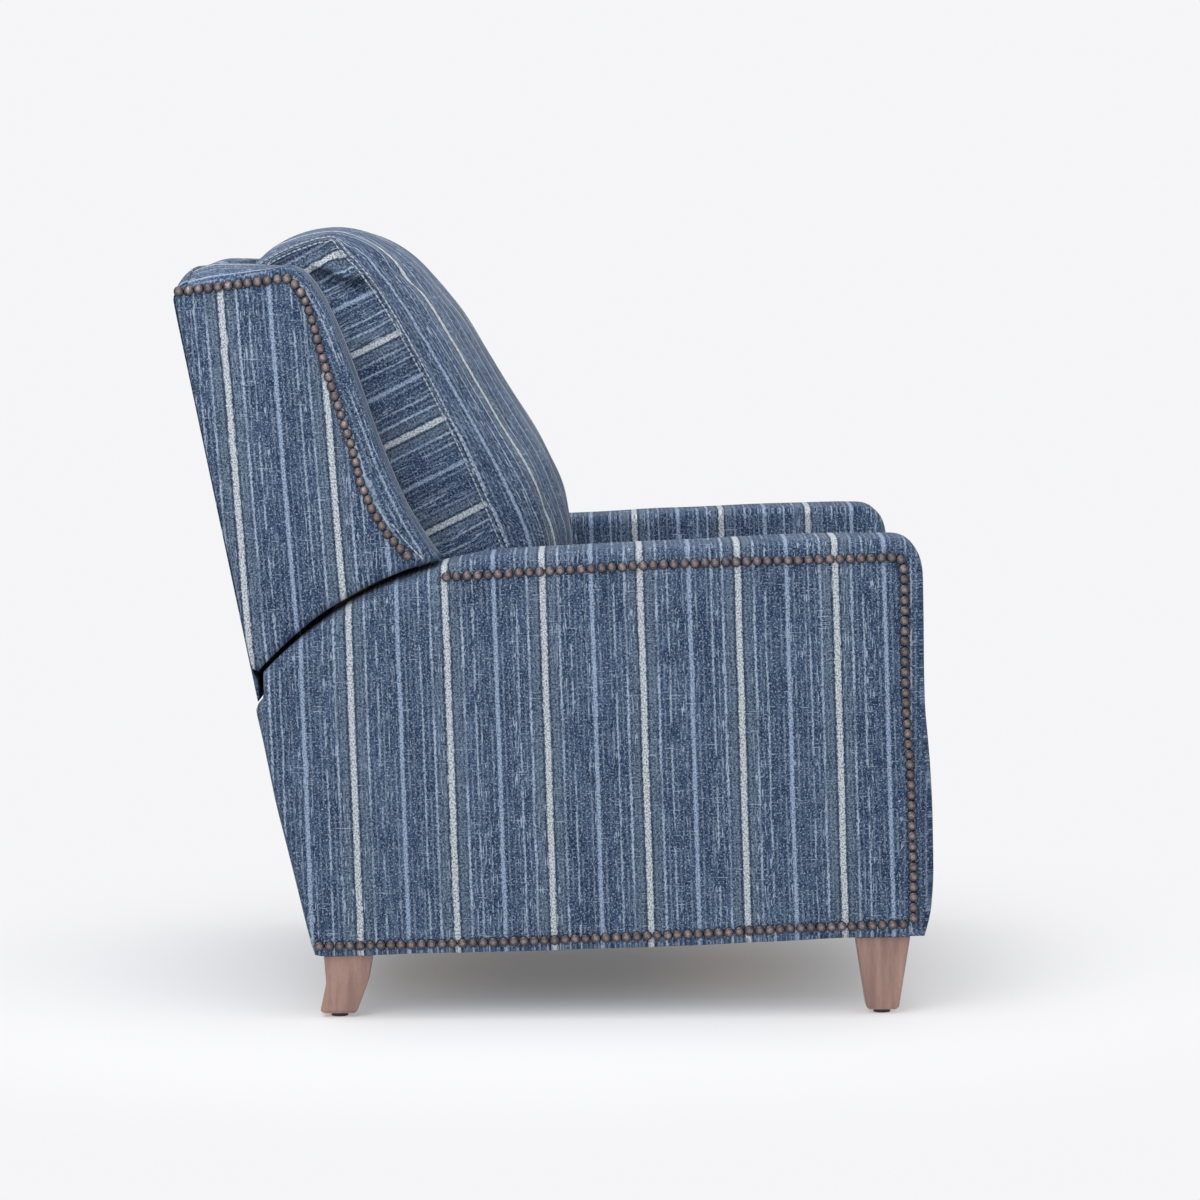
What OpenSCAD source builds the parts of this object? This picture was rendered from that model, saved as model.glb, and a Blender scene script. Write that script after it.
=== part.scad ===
// Push-back reclining armchair with low sloping arms, a winged back and a folding footrest.
// Millimetres. The chair faces -Y, +Z is up, and the origin is on the floor in the middle.
// Side views are drawn as [y, z] pairs and swept along X. "_l" is the sitter's left, at +X.

/* [Overall] */
// Width over the two arms
chair_w = 787; // [720:1:860]
// Depth from the arm fronts to the top of the back
chair_d = 959; // [940:1:980]
// Width of one arm
arm_w = 127; // [110:1:140]
// Height of the arm at its front
arm_h = 621; // [600:1:640]
// Height of the rear top corner of the back
back_h = 949; // [930:1:980]
// Clear gap between an arm and what moves beside it
side_gap = 4.5; // [3:0.5:8]

/* [Base] */
// Height of the frame's underside at the front
front_under_h = 112; // [105:1:118]
// Height of the frame's underside at the back
rear_under_h = 91; // [86:1:98]
// Y of the base's rear edge, at the underside
rear_foot_y = 307; // [295:1:315]
// Slope of the base's rear edge, in degrees from upright
base_lean = 10.9; // [9:0.1:12]
// Height where the base's rear panel ends
rear_panel_h = 424; // [418:1:430]
// Thickness of the rear panel
rear_panel_t = 14; // [10:1:20]
// Thickness of the padded skin of an arm
arm_skin = 12; // [8:1:16]
// Rounding of the upholstered edges
edge_r = 12; // [6:1:14]
// Thickness of the arm frame's boards
arm_board_t = 30; // [20:1:40]
// Face width of the arm frame's boards
arm_board_w = 60; // [40:1:80]
// Thickness of the wooden stretchers between the arms
stretcher_t = 30; // [20:1:30]
// Width of those stretchers
stretcher_w = 56; // [40:1:60]

/* [Legs] */
// Front leg's depth at its top
front_leg_d = 70; // [50:1:80]
// Rear leg's depth at its top
rear_leg_d = 63; // [50:1:70]
// Legs' width at the top
leg_w = 62; // [45:1:75]
// Depth of a foot
foot_d = 42; // [30:1:48]
// Distance of a leg from the outer side of its arm
leg_inset = 16; // [14:1:30]
// Height of the glides
glide_h = 5; // [3:1:8]
// Radius of the glides
glide_r = 11; // [8:1:14]
// Width of the bevel round a foot
foot_bevel = 4; // [2:1:6]

/* [Back] */
// Gap between the arm's rear slope and the wing above it
nest_gap = 10; // [8:0.5:14]
// Thickness of a wing
wing_t = 103; // [90:1:110]
// Lean of the outside back, in degrees
back_lean = 11.07; // [10:0.1:12]
// Thickness of the outside back panel
outside_t = 12; // [8:1:16]
// Thickness of the flap that hangs behind the base
flap_t = 4; // [3:0.5:5]
// Height of the flap's lower edge
flap_h = 415; // [405:1:425]
// Corner radius of the back's rear top edge
crest_r = 20; // [10:1:30]
// Rise of the crest between its shoulders
crest_crown = 28; // [10:1:35]
// Thickness of the plywood sides of the back frame
back_board_t = 28; // [18:1:32]
// Depth and height of the rails across the back frame
back_rail_d = 34; // [25:1:40]
back_rail_h = 60; // [45:1:70]
// Width of one strap of the back webbing
strap_w = 48; // [30:1:55]
// Number of back straps
strap_count = 5; // [3:1:5]

/* [Seat] */
// Height of the seat deck's top
deck_h = 380; // [378:1:386]
// Thickness of the seat cushion at its seams
cushion_t = 116; // [100:1:122]
// Crown of the seat cushion above its top seam
cushion_crown = 16; // [8:1:18]
// Y of the seat cushion's back
cushion_back_y = 58; // [40:1:60]
// How far the cushion's front is behind the arm fronts
cushion_setback = 8; // [5:1:20]
// Thickness of the seat frame's side boards
seat_board_t = 30; // [20:1:34]
// Number of zigzag springs
spring_count = 4; // [3:1:6]
// Wire thickness of the zigzag springs
spring_wire = 3.8; // [3:0.1:4.2]
// Pitch between the spring's bends
spring_pitch = 31; // [24:1:34]
// Width of a spring
spring_w = 44; // [36:1:50]

/* [Mechanism] */
// Thickness of the steel links and plates
plate_t = 3; // [2.5:0.1:3.4]
// Thickness of the washers between links
washer_t = 2; // [1.8:0.1:2.4]
// Radius of the pivot pins
pin_r = 4; // [3:0.1:4.6]
// Radius of the pin heads and washers
head_r = 7; // [6:0.1:7.4]
// Width of the links
link_w = 20; // [16:1:20]
// Width of the tail links
tail_w = 16; // [13:1:16]
// Length of the swing links
swing_l = 80; // [76:1:84]
// Swing links' lean behind upright, in degrees
swing_lean = 30; // [26:1:32]
// Y of the front and the rear swing link's lower pivots
front_swing_y = -110; // [-130:1:-95]
rear_swing_y = 100; // [90:1:110]
// Swing links' lower pivots below the deck
swing_drop = 220; // [214:1:222]
// Radius of the cross tubes
tube_r = 9; // [8:0.1:9.4]
// Wall of the cross tubes
tube_wall = 1.5; // [1:0.1:1.6]
// Y of the hinge between seat and back, and how far it is below the deck
hinge_y = 200; // [195:1:206]
hinge_drop = 135; // [130:1:138]
// Footrest's drive pivot behind the arm fronts and below the deck
drive_setback = 131.5; // [127.5:0.5:135.5]
drive_drop = 88; // [84:1:90]
// Drive link from its pivot to the crossing
drive_near = 95; // [94:0.1:96]
// Drive link from the crossing to its end
drive_far = 85; // [83:0.1:87]
// Cross link from the crossing to its tail
cross_tail = 50; // [49:0.1:51]
// Cross link from the crossing to the footrest
cross_far = 150; // [147:0.1:152]
// Tail link between its pivots
tail_l = 107; // [106:0.1:108]
// Angles of the drive, cross and tail links when folded
drive_a = -97; // [-98:0.5:-96]
cross_a = 60; // [59:0.5:61]
tail_a = -78; // [-79:0.5:-77]
// Travel of the tail pin along its slot
slot_travel = 15; // [14.6:0.1:18]
// Direction of the slot above the horizontal, in degrees
slot_a = 45.4; // [44:0.1:47]

/* [Footrest] */
// Thickness of the footrest's board
board_t = 15; // [12:1:18]
// Footrest's upper edge below the deck, and the height of its face
footrest_drop = 9; // [8:1:20]
footrest_face_h = 247; // [235:1:251]
// How far the footrest's face is behind the arm fronts
footrest_setback = 6; // [4:1:10]

/* [Fits] */
// Play between pieces that only rest on each other
seat_play = 0.3; // [0.2:0.05:0.5]
// Radial play of a pin in its hole
pivot_play = 0.05; // [0.03:0.01:0.1]
// Radial play where a closed chain of links is shut by a loose pin
loop_play = 0.4; // [0.3:0.05:0.6]
// Sideways play of the tail pin in its slot
slot_play = 0.8; // [0.7:0.05:1]

/* [Hidden] */
$fn = 16;

fabric_blue = [0.24, 0.33, 0.47];
fabric_dark = [0.16, 0.2, 0.28];
wood_brown = [0.55, 0.42, 0.36];
frame_wood = [0.8, 0.66, 0.46];
steel_grey = [0.35, 0.36, 0.38];
zinc = [0.66, 0.67, 0.69];
foam = [0.86, 0.84, 0.78];

// Overall planes
outer_x = chair_w / 2;
inner_x = outer_x - arm_w;
moving_x = inner_x - side_gap;
front_y = -chair_d / 2;
rear_y = chair_d / 2;
under_slope = (rear_under_h - front_under_h) / (rear_foot_y - front_y);
function under_z(y) = front_under_h + (y - front_y) * under_slope;
function base_rear_y(z) = rear_foot_y + (z - rear_under_h) * tan(base_lean);

// Heights that follow the deck, and the drive pivot, which follows the arm fronts
cushion_h = deck_h + cushion_t;
swing_z = deck_h - swing_drop;
hinge_z = deck_h - hinge_drop;
drive_y = front_y + drive_setback;
drive_z = deck_h - drive_drop;
footrest_high = deck_h - footrest_drop;
footrest_low = footrest_high - footrest_face_h;

// The arm's rear slope and the wing's lower edge are arcs about one centre
nest_y = 25;
nest_drop = 487;
nest_c = [nest_y, arm_h - nest_drop];
nest_r = 471;

// Rear line of the back, tangent to its rounded top corner
crest_c = [rear_y - crest_r, back_h - crest_r];
function back_rear_y(z) = crest_c[0] + crest_r / cos(back_lean) + (z - crest_c[1]) * tan(back_lean);

// General functions on outlines
function arc(c, r, a0, a1, n) =
    [for (i = [0:n]) c + r * [cos(a0 + (a1 - a0) * i / n), sin(a0 + (a1 - a0) * i / n)]];
function bez_at(p, t) =
    pow(1 - t, 3) * p[0] + 3 * t * pow(1 - t, 2) * p[1] + 3 * t * t * (1 - t) * p[2] + pow(t, 3) * p[3];
function bez(p, n) = [for (i = [0:n]) bez_at(p, i / n)];
// The same curve without its last point, where the next stretch begins
function bez_open(p, n) = [for (i = [0:n - 1]) bez_at(p, i / n)];
function unit(v) = v / norm(v);
function left_of(v) = [-v[1], v[0]];
// Moves a counter-clockwise outline inwards by d
function inset(pts, d) = let (n = len(pts)) [for (i = [0:n - 1])
    let (a = left_of(unit(pts[i] - pts[(i + n - 1) % n])), b = left_of(unit(pts[(i + 1) % n] - pts[i])))
    pts[i] + d * (a + b) / max(1 + a * b, 0.35)];
function centre(ring) = [for (k = [0:2]) sum([for (p = ring) p[k]]) / len(ring)];
function sum(v, i = 0) = i == len(v) ? 0 : v[i] + sum(v, i + 1);
function share(v, low, high) = min(max((v - low) / (high - low), 0), 1);

// A closed skin over rings that all have the same number of points
module skin(rings) {
    n = len(rings[0]);
    m = len(rings);
    points = [for (r = rings) each r, centre(rings[0]), centre(rings[m - 1])];
    sides = [for (j = [0:m - 2], i = [0:n - 1]) let (k = (i + 1) % n)
        each [[j * n + i, (j + 1) * n + i, (j + 1) * n + k], [j * n + i, (j + 1) * n + k, j * n + k]]];
    low_cap = [for (i = [0:n - 1]) [m * n, i, (i + 1) % n]];
    high_cap = [for (i = [0:n - 1]) [m * n + 1, (m - 1) * n + (i + 1) % n, (m - 1) * n + i]];
    polyhedron(points, concat(sides, low_cap, high_cap));
}

// A closed solid over outlines that each lie in one X plane
module ring_solid(rings) {
    n = len(rings[0]);
    m = len(rings);
    sides = [for (j = [0:m - 2], i = [0:n - 1]) let (k = (i + 1) % n)
        each [[j * n + i, (j + 1) * n + i, (j + 1) * n + k], [j * n + i, (j + 1) * n + k, j * n + k]]];
    low_cap = [[for (i = [0:n - 1]) i]];
    high_cap = [[for (i = [n - 1:-1:0]) (m - 1) * n + i]];
    polyhedron([for (r = rings) each r], concat(sides, low_cap, high_cap));
}

// A side outline swept along X with rolled edges and flat faces; swell 1 gives it the crest's rise
module upholstered(outline, x0, x1, r, rows = 0, swell = 0) {
    steps = 3;
    turns = [for (k = [0:steps]) k * 90 / steps];
    offs = [for (a = turns) [r * (1 - cos(a)), r * (1 - sin(a))]];
    stations = concat([for (o = offs) [x0 + o[0], o[1]]],
        [for (i = [1:1:rows]) [x0 + r + (x1 - x0 - 2 * r) * i / (rows + 1), 0]],
        [for (k = [steps:-1:0]) [x1 - offs[k][0], offs[k][1]]]);
    ring_solid([for (s = stations) [for (p = inset(outline, s[1]))
        [s[0], p[0], p[1] + swell * crest_lift(s[0], p)]]]);
}

// A flat side outline as a board between two X planes
module board(x0, x1) {
    translate([x0, 0, 0]) rotate([90, 0, 90]) linear_extrude(x1 - x0) children();
}

module block(x, y, z) {
    translate([x[0], y[0], z[0]]) cube([x[1] - x[0], y[1] - y[0], z[1] - z[0]]);
}

module on_side(side) {
    if (side > 0) children();
    else mirror([1, 0, 0]) children();
}

// Rounded rectangle round the origin, as points
function rounded_rect(hw, hd, r, n) = concat(
    arc([hw - r, hd - r], r, 0, 90, n), arc([r - hw, hd - r], r, 90, 180, n),
    arc([r - hw, r - hd], r, 180, 270, n), arc([hw - r, r - hd], r, 270, 360, n));

// Arm and base; the last angle is where the arm's slope meets the base's rear edge
nest_end_a = 42.5;
toe_in = 14;
belly_out = 9;
belly_h = 90;
face_in = 3.5;
face_drop = 220;
brow_drop = 56;
brow_run = 40;
brow_pull = 35;
slope_y = [-250, -60];
slope_drop = 12;
slope_end_a = 85;
arm_brow = [front_y + face_in, arm_h - brow_drop];
arm_top_start = [front_y + brow_run, arm_h];
arm_outline = concat(
    bez_open([[front_y + toe_in, under_z(front_y)], [front_y - belly_out, under_z(front_y) + belly_h],
        [front_y + face_in - 0.5, arm_h - face_drop], arm_brow], 6),
    bez_open([arm_brow, arm_brow + [0, brow_pull], [front_y + toe_in, arm_h], arm_top_start], 5),
    bez_open([arm_top_start, [slope_y[0], arm_h], [slope_y[1], arm_h - slope_drop],
        nest_c + nest_r * [cos(slope_end_a), sin(slope_end_a)]], 6),
    arc(nest_c, nest_r, slope_end_a, nest_end_a, 10),
    [[base_rear_y(rear_panel_h), rear_panel_h], [rear_foot_y, rear_under_h]]);
arm_ccw = [for (i = [len(arm_outline) - 1:-1:0]) arm_outline[i]];
arm_cavity = inset(arm_ccw, arm_skin);

module arm_cover(side) {
    color(fabric_blue) on_side(side) difference() {
        upholstered(arm_ccw, inner_x, outer_x, edge_r);
        board(inner_x + arm_skin, outer_x - arm_skin) polygon(arm_cavity);
    }
}

// Ladder of boards that just fits inside an arm
module arm_frame(side) {
    x0 = inner_x + arm_skin + seat_play;
    board_edge = arm_skin + seat_play;
    color(frame_wood) on_side(side) board(x0, x0 + arm_board_t) difference() {
        offset(delta = -board_edge) polygon(arm_ccw);
        difference() {
            offset(delta = -board_edge - arm_board_w) polygon(arm_ccw);
            translate([-60 - arm_board_w / 2, 0]) square([arm_board_w, arm_h]);
        }
    }
}

// Legs are square tapers between sections given as [y0, y1, half width]
module leg(side, sections, levels) {
    x = outer_x - leg_inset - leg_w / 2;
    rings = [for (i = [0:len(levels) - 1]) let (s = sections[i], l = levels[i])
        [[x - s[2], s[0], l[0]], [x + s[2], s[0], l[0]], [x + s[2], s[1], l[1]], [x - s[2], s[1], l[1]]]];
    color(wood_brown) on_side(side) skin(rings);
}

// Setbacks of the legs' tops, of the feet from the tops, and a rear foot's extra depth
front_leg_in = 20;
front_foot_in = 14;
rear_leg_in = 8;
rear_foot_in = 21;
rear_foot_more = 6;
front_leg_y = front_y + front_leg_in;
front_foot_y = front_leg_y + front_foot_in;
rear_leg_y = rear_foot_y - rear_leg_in - rear_leg_d;
rear_foot_front_y = rear_leg_y + rear_foot_in;
foot_hw = foot_d / 2;

module leg_front(side) {
    top = [under_z(front_leg_y) - seat_play, under_z(front_leg_y + front_leg_d) - seat_play];
    leg(side, [[front_foot_y + foot_bevel, front_foot_y + foot_d - foot_bevel, foot_hw - foot_bevel],
        [front_foot_y, front_foot_y + foot_d, foot_hw],
        [front_leg_y, front_leg_y + front_leg_d, leg_w / 2]],
        [[glide_h, glide_h], [glide_h + foot_bevel, glide_h + foot_bevel], top]);
}

module leg_rear(side) {
    rear_foot_end = rear_foot_front_y + foot_d + rear_foot_more;
    top = [under_z(rear_leg_y) - seat_play, under_z(rear_leg_y + rear_leg_d) - seat_play];
    mid_z = rear_under_h * 0.5;
    leg(side, [[rear_foot_front_y + foot_bevel, rear_foot_end - foot_bevel, foot_hw - foot_bevel],
        [rear_foot_front_y, rear_foot_end, foot_hw],
        [rear_leg_y + 7, rear_leg_y + rear_leg_d - 2, foot_hw + 3],
        [rear_leg_y, rear_leg_y + rear_leg_d, leg_w / 2]],
        [[glide_h, glide_h], [glide_h + foot_bevel, glide_h + foot_bevel], [mid_z, mid_z], top]);
}

module leg_glides() {
    x = outer_x - leg_inset - leg_w / 2;
    ys = [front_foot_y + foot_d / 2, rear_foot_front_y + (foot_d + rear_foot_more) / 2];
    color(fabric_dark) for (side = [-1, 1], y = ys)
        translate([side * x, y, 0]) cylinder(r = glide_r, h = glide_h);
}

// Wooden stretchers carry the mechanism's rails between the arms
rail_under = 22;
rail_over = 24;
rail_end = 6;
stretcher_top = swing_z - rail_under - seat_play;
stretcher_ahead = 152;
stretcher_behind = 68;
front_stretcher_y = front_swing_y - stretcher_ahead;
rear_stretcher_y = rear_swing_y + stretcher_behind;

module stretcher(y) {
    x = inner_x - seat_play;
    color(frame_wood) block([-x, x], [y, y + stretcher_w], [stretcher_top - stretcher_t, stretcher_top]);
}

module rear_panel() {
    x = inner_x - seat_play;
    low_y = base_rear_y(rear_under_h);
    color(fabric_blue) board(-x, x) polygon([
        [low_y, rear_under_h], [base_rear_y(rear_panel_h), rear_panel_h],
        [base_rear_y(rear_panel_h) - rear_panel_t, rear_panel_h], [low_y - rear_panel_t, rear_under_h]]);
}

// Mechanism: steel plates lie in layers, counted inwards from the arm
layer_pitch = plate_t + washer_t;
base_clear = 1;
function layer_in(n) = inner_x - base_clear - plate_t - n * layer_pitch;
function layer_out(n) = layer_in(n) + plate_t;
// Direction of an angle that grows from forwards towards up
function dir(a) = [-cos(a), sin(a)];
head_t = washer_t * 0.7;
pin_hole_r = pin_r + pivot_play;

swing_a = 90 + swing_lean;
front_swing_low = [front_swing_y, swing_z];
rear_swing_low = [rear_swing_y, swing_z];
front_swing_top = front_swing_low + swing_l * dir(swing_a);
rear_swing_top = rear_swing_low + swing_l * dir(swing_a);
hinge = [hinge_y, hinge_z];
drive_pivot = [drive_y, drive_z];
crossing = drive_pivot + drive_near * dir(drive_a);
drive_end = crossing + drive_far * dir(drive_a);
cross_low = crossing - cross_tail * dir(cross_a);
foot_pivot = crossing + cross_far * dir(cross_a);
foot_low = foot_pivot + drive_far * dir(drive_a);
tail_pin = cross_low - tail_l * dir(tail_a);

module disc(p, r) {
    translate(p) circle(r);
}

// Bore whose flats, not its corners, lie on the circle
module bore(p, r) {
    translate(p) circle(r / cos(180 / $fn));
}

// Straight piece between two points; it is a touch narrower than the round ends that it meets
run_ease = 0.05;
module run(p, q, w) {
    d = q - p;
    translate(p) rotate(atan2(d[1], d[0])) translate([0, run_ease - w / 2])
        square([norm(d), w - 2 * run_ease]);
}

// Flat link with round ends between two points
module bar(p, q, w) {
    disc(p, w / 2);
    disc(q, w / 2);
    run(p, q, w);
}

module plate(n) {
    board(layer_in(n), layer_out(n)) children();
}

module bores(points, r) {
    for (p = points) bore(p, r);
}

// Pin turned about a line along X from x0 outwards; each step is the X where it ends and its radius
pin_sides = 8;
module turned(p, x0, steps) {
    starts = concat([x0], [for (s = steps) s[0]]);
    half = [for (i = [0:len(steps) - 1]) each [[steps[i][1], starts[i]], [steps[i][1], steps[i][0]]]];
    translate([0, p[0], p[1]]) rotate([0, 90, 0]) rotate_extrude($fn = pin_sides)
        polygon(concat([[0, x0]], half, [[0, starts[len(steps)]]]));
}

// Headed pin through layer n and the next one in, with a washer collar between them
rub = 0.1;
module pivot(p, n) {
    low = layer_in(n + 1) - rub;
    high = layer_out(n) + rub;
    turned(p, low - head_t, [[low, head_r], [layer_out(n + 1) + rub, pin_r],
        [layer_in(n) - rub, head_r], [high, pin_r], [high + head_t, head_r]]);
}

rail_low = swing_z - rail_under;
rail_high = swing_z + rail_over;
rail_front_y = front_stretcher_y + rail_end;
rail_rear_y = rear_stretcher_y + stretcher_w - rail_end;
window_w = 14;

module base_rail(side) {
    color(steel_grey) on_side(side) {
        plate(0) difference() {
            polygon([[rail_front_y, rail_low], [rail_rear_y, rail_low], [rail_rear_y, rail_low + 16],
                [rear_swing_y + 24, rail_high], [front_swing_y - 24, rail_high],
                [rail_front_y, rail_low + 16]]);
            bores([front_swing_low, rear_swing_low], pin_hole_r);
            bar([front_swing_y + 45, swing_z], [rear_swing_y - 45, swing_z], window_w);
        }
        block([layer_out(0) - 26, layer_out(0)], [rail_front_y, rail_rear_y], [rail_low, rail_low + plate_t]);
    }
}

// Lower pins end flush with the outside of the base rail
module base_pivots() {
    low = layer_in(1) - rub;
    color(zinc) for (side = [-1, 1], p = [front_swing_low, rear_swing_low]) on_side(side)
        turned(p, low - head_t, [[low, head_r], [layer_out(1) + rub, pin_r],
            [layer_in(0) - rub, head_r], [layer_out(0), pin_r]]);
}

module swing_link(side, low, top, top_play) {
    color(steel_grey) on_side(side) plate(1) difference() {
        bar(low, top, link_w + 4);
        bore(low, pin_hole_r);
        bore(top, pin_r + top_play);
    }
}

// Round tube between the two sides' links, welded to their inner faces
module cross_tube(p, n) {
    x = layer_in(n);
    color(steel_grey) board(-x, x) difference() {
        disc(p, tube_r);
        disc(p, tube_r - tube_wall);
    }
}
swing_tube_at = 0.47;
function swing_mid(low, top) = low + (top - low) * swing_tube_at;

// Seat plate: a stamped bar with a lug round each pivot and a slot for the tail pin
seat_bar_under = 20;
seat_bar_over = 16;
seat_bar_low = drive_z - seat_bar_under;
seat_bar_high = drive_z + seat_bar_over;
seat_bar_mid = (seat_bar_low + seat_bar_high) / 2;
seat_bar_front = drive_y;
lug_r = 15;
// Middle of the tail pin's run, seen from its folded place
slot_run_mid = [4.65, -4.04];
slot_half = pin_r + slot_play;
slot_dir = [-cos(slot_a), sin(slot_a)];
slot_mid = tail_pin + slot_run_mid;
slot_high = slot_mid + slot_dir * slot_travel / 2;
slot_low = slot_mid - slot_dir * slot_travel / 2;

module lug(p, r) {
    disc(p, r);
    polygon([[p[0] - r, p[1]], [p[0] + r, p[1]], [p[0] + r + 14, seat_bar_low + 1],
        [p[0] - r - 14, seat_bar_low + 1]]);
}

module seat_plate(side) {
    color(steel_grey) on_side(side) {
        plate(2) difference() {
            union() {
                translate([seat_bar_front, seat_bar_low])
                    square([hinge_y - seat_bar_front, seat_bar_high - seat_bar_low]);
                disc(drive_pivot, seat_bar_high - drive_z);
                disc(hinge, lug_r);
                polygon([[hinge_y, seat_bar_high], [hinge_y - 40, seat_bar_low], [hinge_y, hinge_z - lug_r],
                    [hinge_y + lug_r, hinge_z], [hinge_y + lug_r, seat_bar_high - 14]]);
                lug(front_swing_top, lug_r);
                lug(rear_swing_top, lug_r);
                bar(slot_low, slot_high, 2 * slot_half + 18);
                lug(slot_high, slot_half + 9);
            }
            bar(slot_low, slot_high, 2 * slot_half);
            bores([drive_pivot, hinge, front_swing_top, rear_swing_top], pin_hole_r);
            bar([front_swing_top[0] + 50, seat_bar_mid], [rear_swing_top[0] - 50, seat_bar_mid], window_w);
            bar([front_swing_top[0] - 130, seat_bar_mid], [front_swing_top[0] - 40, seat_bar_mid], window_w);
        }
        block([layer_out(2) - flange_w, layer_out(2)], [seat_bar_front - 10, flange_rear_y],
            [seat_bar_high, seat_bar_high + plate_t]);
    }
}
flange_w = 30;
flange_rear_y = hinge_y - 22;

module seat_pivots() {
    color(zinc) for (side = [-1, 1]) on_side(side) {
        pivot(front_swing_top, 1);
        pivot(rear_swing_top, 1);
        pivot(hinge, 2);
    }
}

// Seat frame of boards on the plates' flanges
deck_t = 3;
footrest_back_y = foot_pivot[0] - 14;
board_low = seat_bar_high + plate_t + seat_play;
board_high = deck_h - deck_t - spring_wire - 2 * seat_play - 1.5;
seat_board_out = layer_out(2) - 2;
front_rail_y = footrest_back_y + 6;
front_rail_d = 28;
front_rail_low = foot_pivot[1] + link_w / 2 + 4;
side_rail_front_y = front_rail_y + front_rail_d + seat_play;

module seat_side_rail(side) {
    color(frame_wood) on_side(side) board(seat_board_out - seat_board_t, seat_board_out) polygon([
        [side_rail_front_y, board_high], [side_rail_front_y, front_rail_low],
        [foot_pivot[0] + 44, board_low], [flange_rear_y, board_low], [flange_rear_y, board_high]]);
}

module seat_front_rail() {
    color(frame_wood) block([-seat_board_out, seat_board_out],
        [front_rail_y, front_rail_y + front_rail_d], [front_rail_low, board_high]);
}

module seat_rear_rail() {
    x = seat_board_out - seat_board_t - seat_play;
    color(frame_wood) block([-x, x], [flange_rear_y - 28, flange_rear_y], [board_low, board_high]);
}

// Zigzag springs run from the front rail to the rear rail in half-round bends
spring_front_y = front_rail_y + 14;
spring_rear_y = flange_rear_y - 14;
spring_turns = floor((spring_rear_y - spring_front_y) / spring_pitch);
spring_step = (spring_rear_y - spring_front_y) / spring_turns;
spring_z = board_high + 1.5;
function spring_x(i) = (i - (spring_count - 1) / 2) * (2 * (seat_board_out - seat_board_t) / spring_count);

module zigzag(x) {
    bend_r = spring_step / 2;
    leg_x = spring_w / 2 - bend_r;
    translate([x, spring_front_y, spring_z]) linear_extrude(spring_wire) for (k = [0:spring_turns - 1]) {
        side = k % 2 == 0 ? 1 : -1;
        translate([side * leg_x, (k + 0.5) * spring_step]) intersection() {
            difference() {
                circle(bend_r + spring_wire / 2, $fn = 8);
                circle(bend_r - spring_wire / 2, $fn = 8);
            }
            translate([side > 0 ? 0 : -2 * bend_r, -2 * bend_r]) square([2 * bend_r, 4 * bend_r]);
        }
        translate([-leg_x, (k + 1) * spring_step - spring_wire / 2]) square([2 * leg_x, spring_wire]);
        if (k == 0) translate([-leg_x, -spring_wire / 2]) square([2 * leg_x, spring_wire]);
    }
}

module zigzag_springs() {
    color(steel_grey) for (i = [0:spring_count - 1]) zigzag(spring_x(i));
}

module spring_clips() {
    clip_w = 16;
    clip_d = 12;
    color(zinc) for (i = [0:spring_count - 1], y = [spring_front_y, spring_rear_y])
        block([spring_x(i) - clip_w / 2, spring_x(i) + clip_w / 2], [y - clip_d / 2, y + clip_d / 2],
            [board_high + seat_play / 2, spring_z - seat_play / 2]);
}

module seat_deck() {
    low = deck_h - deck_t;
    front = front_rail_y - deck_t - seat_play;
    color(fabric_dark) {
        block([-moving_x, moving_x], [front, flange_rear_y - 4], [low, deck_h]);
        block([-moving_x, moving_x], [front, front + deck_t], [front_rail_low, low]);
    }
}

// Boxed cushion: seams at both edges, a drawn-in border and crowned faces
function boxed_levels(z0, z1, crown) = concat(
    [[0.5, z0], [0.93, z0], [0.985, z0 + 5], [1, z0 + 14]],
    [[0.988, z0 + (z1 - z0) * 0.5], [1, z1 - 8], [1, z1], [0.985, z1 + crown * 0.22]],
    [for (s = [0.1, 0.22, 0.38, 0.58, 0.8]) [1 - s, z1 + crown * (1 - pow(1 - s, 3)) * 0.95]]);

module seat_cushion() {
    y0 = front_y + cushion_setback;
    mid = (y0 + cushion_back_y) / 2;
    shape = rounded_rect(moving_x, (cushion_back_y - y0) / 2, 34, 5);
    color(fabric_blue) skin([for (l = boxed_levels(deck_h + seat_play, cushion_h, cushion_crown))
        [for (p = shape) [p[0] * l[0], mid + p[1] * l[0], l[1]]]]);
}

// Footrest: board on two brackets, and a padded front face
footrest_x = moving_x;

module footrest_bracket(side) {
    y = footrest_back_y + seat_play;
    color(steel_grey) on_side(side) {
        plate(3) difference() {
            union() {
                bar(foot_pivot, foot_low, link_w);
                polygon([[foot_pivot[0], foot_pivot[1] - 4], [foot_low[0], foot_low[1] - link_w / 2],
                    [y, foot_low[1] - 36], [y, foot_pivot[1] - 12]]);
            }
            bores([foot_pivot, foot_low], pin_hole_r);
        }
        block([layer_out(3) - 30, layer_out(3)], [y, y + plate_t], [foot_low[1] - 36, foot_pivot[1] - 12]);
    }
}

module footrest_board() {
    trim = 8;
    color(frame_wood) block([trim - footrest_x, footrest_x - trim],
        [footrest_back_y - board_t, footrest_back_y], [footrest_low + trim, footrest_high - trim]);
}

module footrest_pad() {
    face_y = front_y + footrest_setback;
    depth = footrest_back_y - board_t - seat_play - face_y;
    mid_z = (footrest_low + footrest_high) / 2;
    shape = rounded_rect(footrest_x, (footrest_high - footrest_low) / 2, 22, 4);
    levels = [[0.6, 0], [0.97, 0], [1, 0.25], [0.995, 0.55], [1, 0.7], [0.985, 0.79],
        [0.93, 0.87], [0.8, 0.93], [0.6, 0.97], [0.3, 1]];
    color(fabric_blue) skin([for (l = levels) [for (p = shape)
        [p[0] * l[0], face_y + depth * (1 - l[1]), mid_z + p[1] * l[0]]]]);
}

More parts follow.
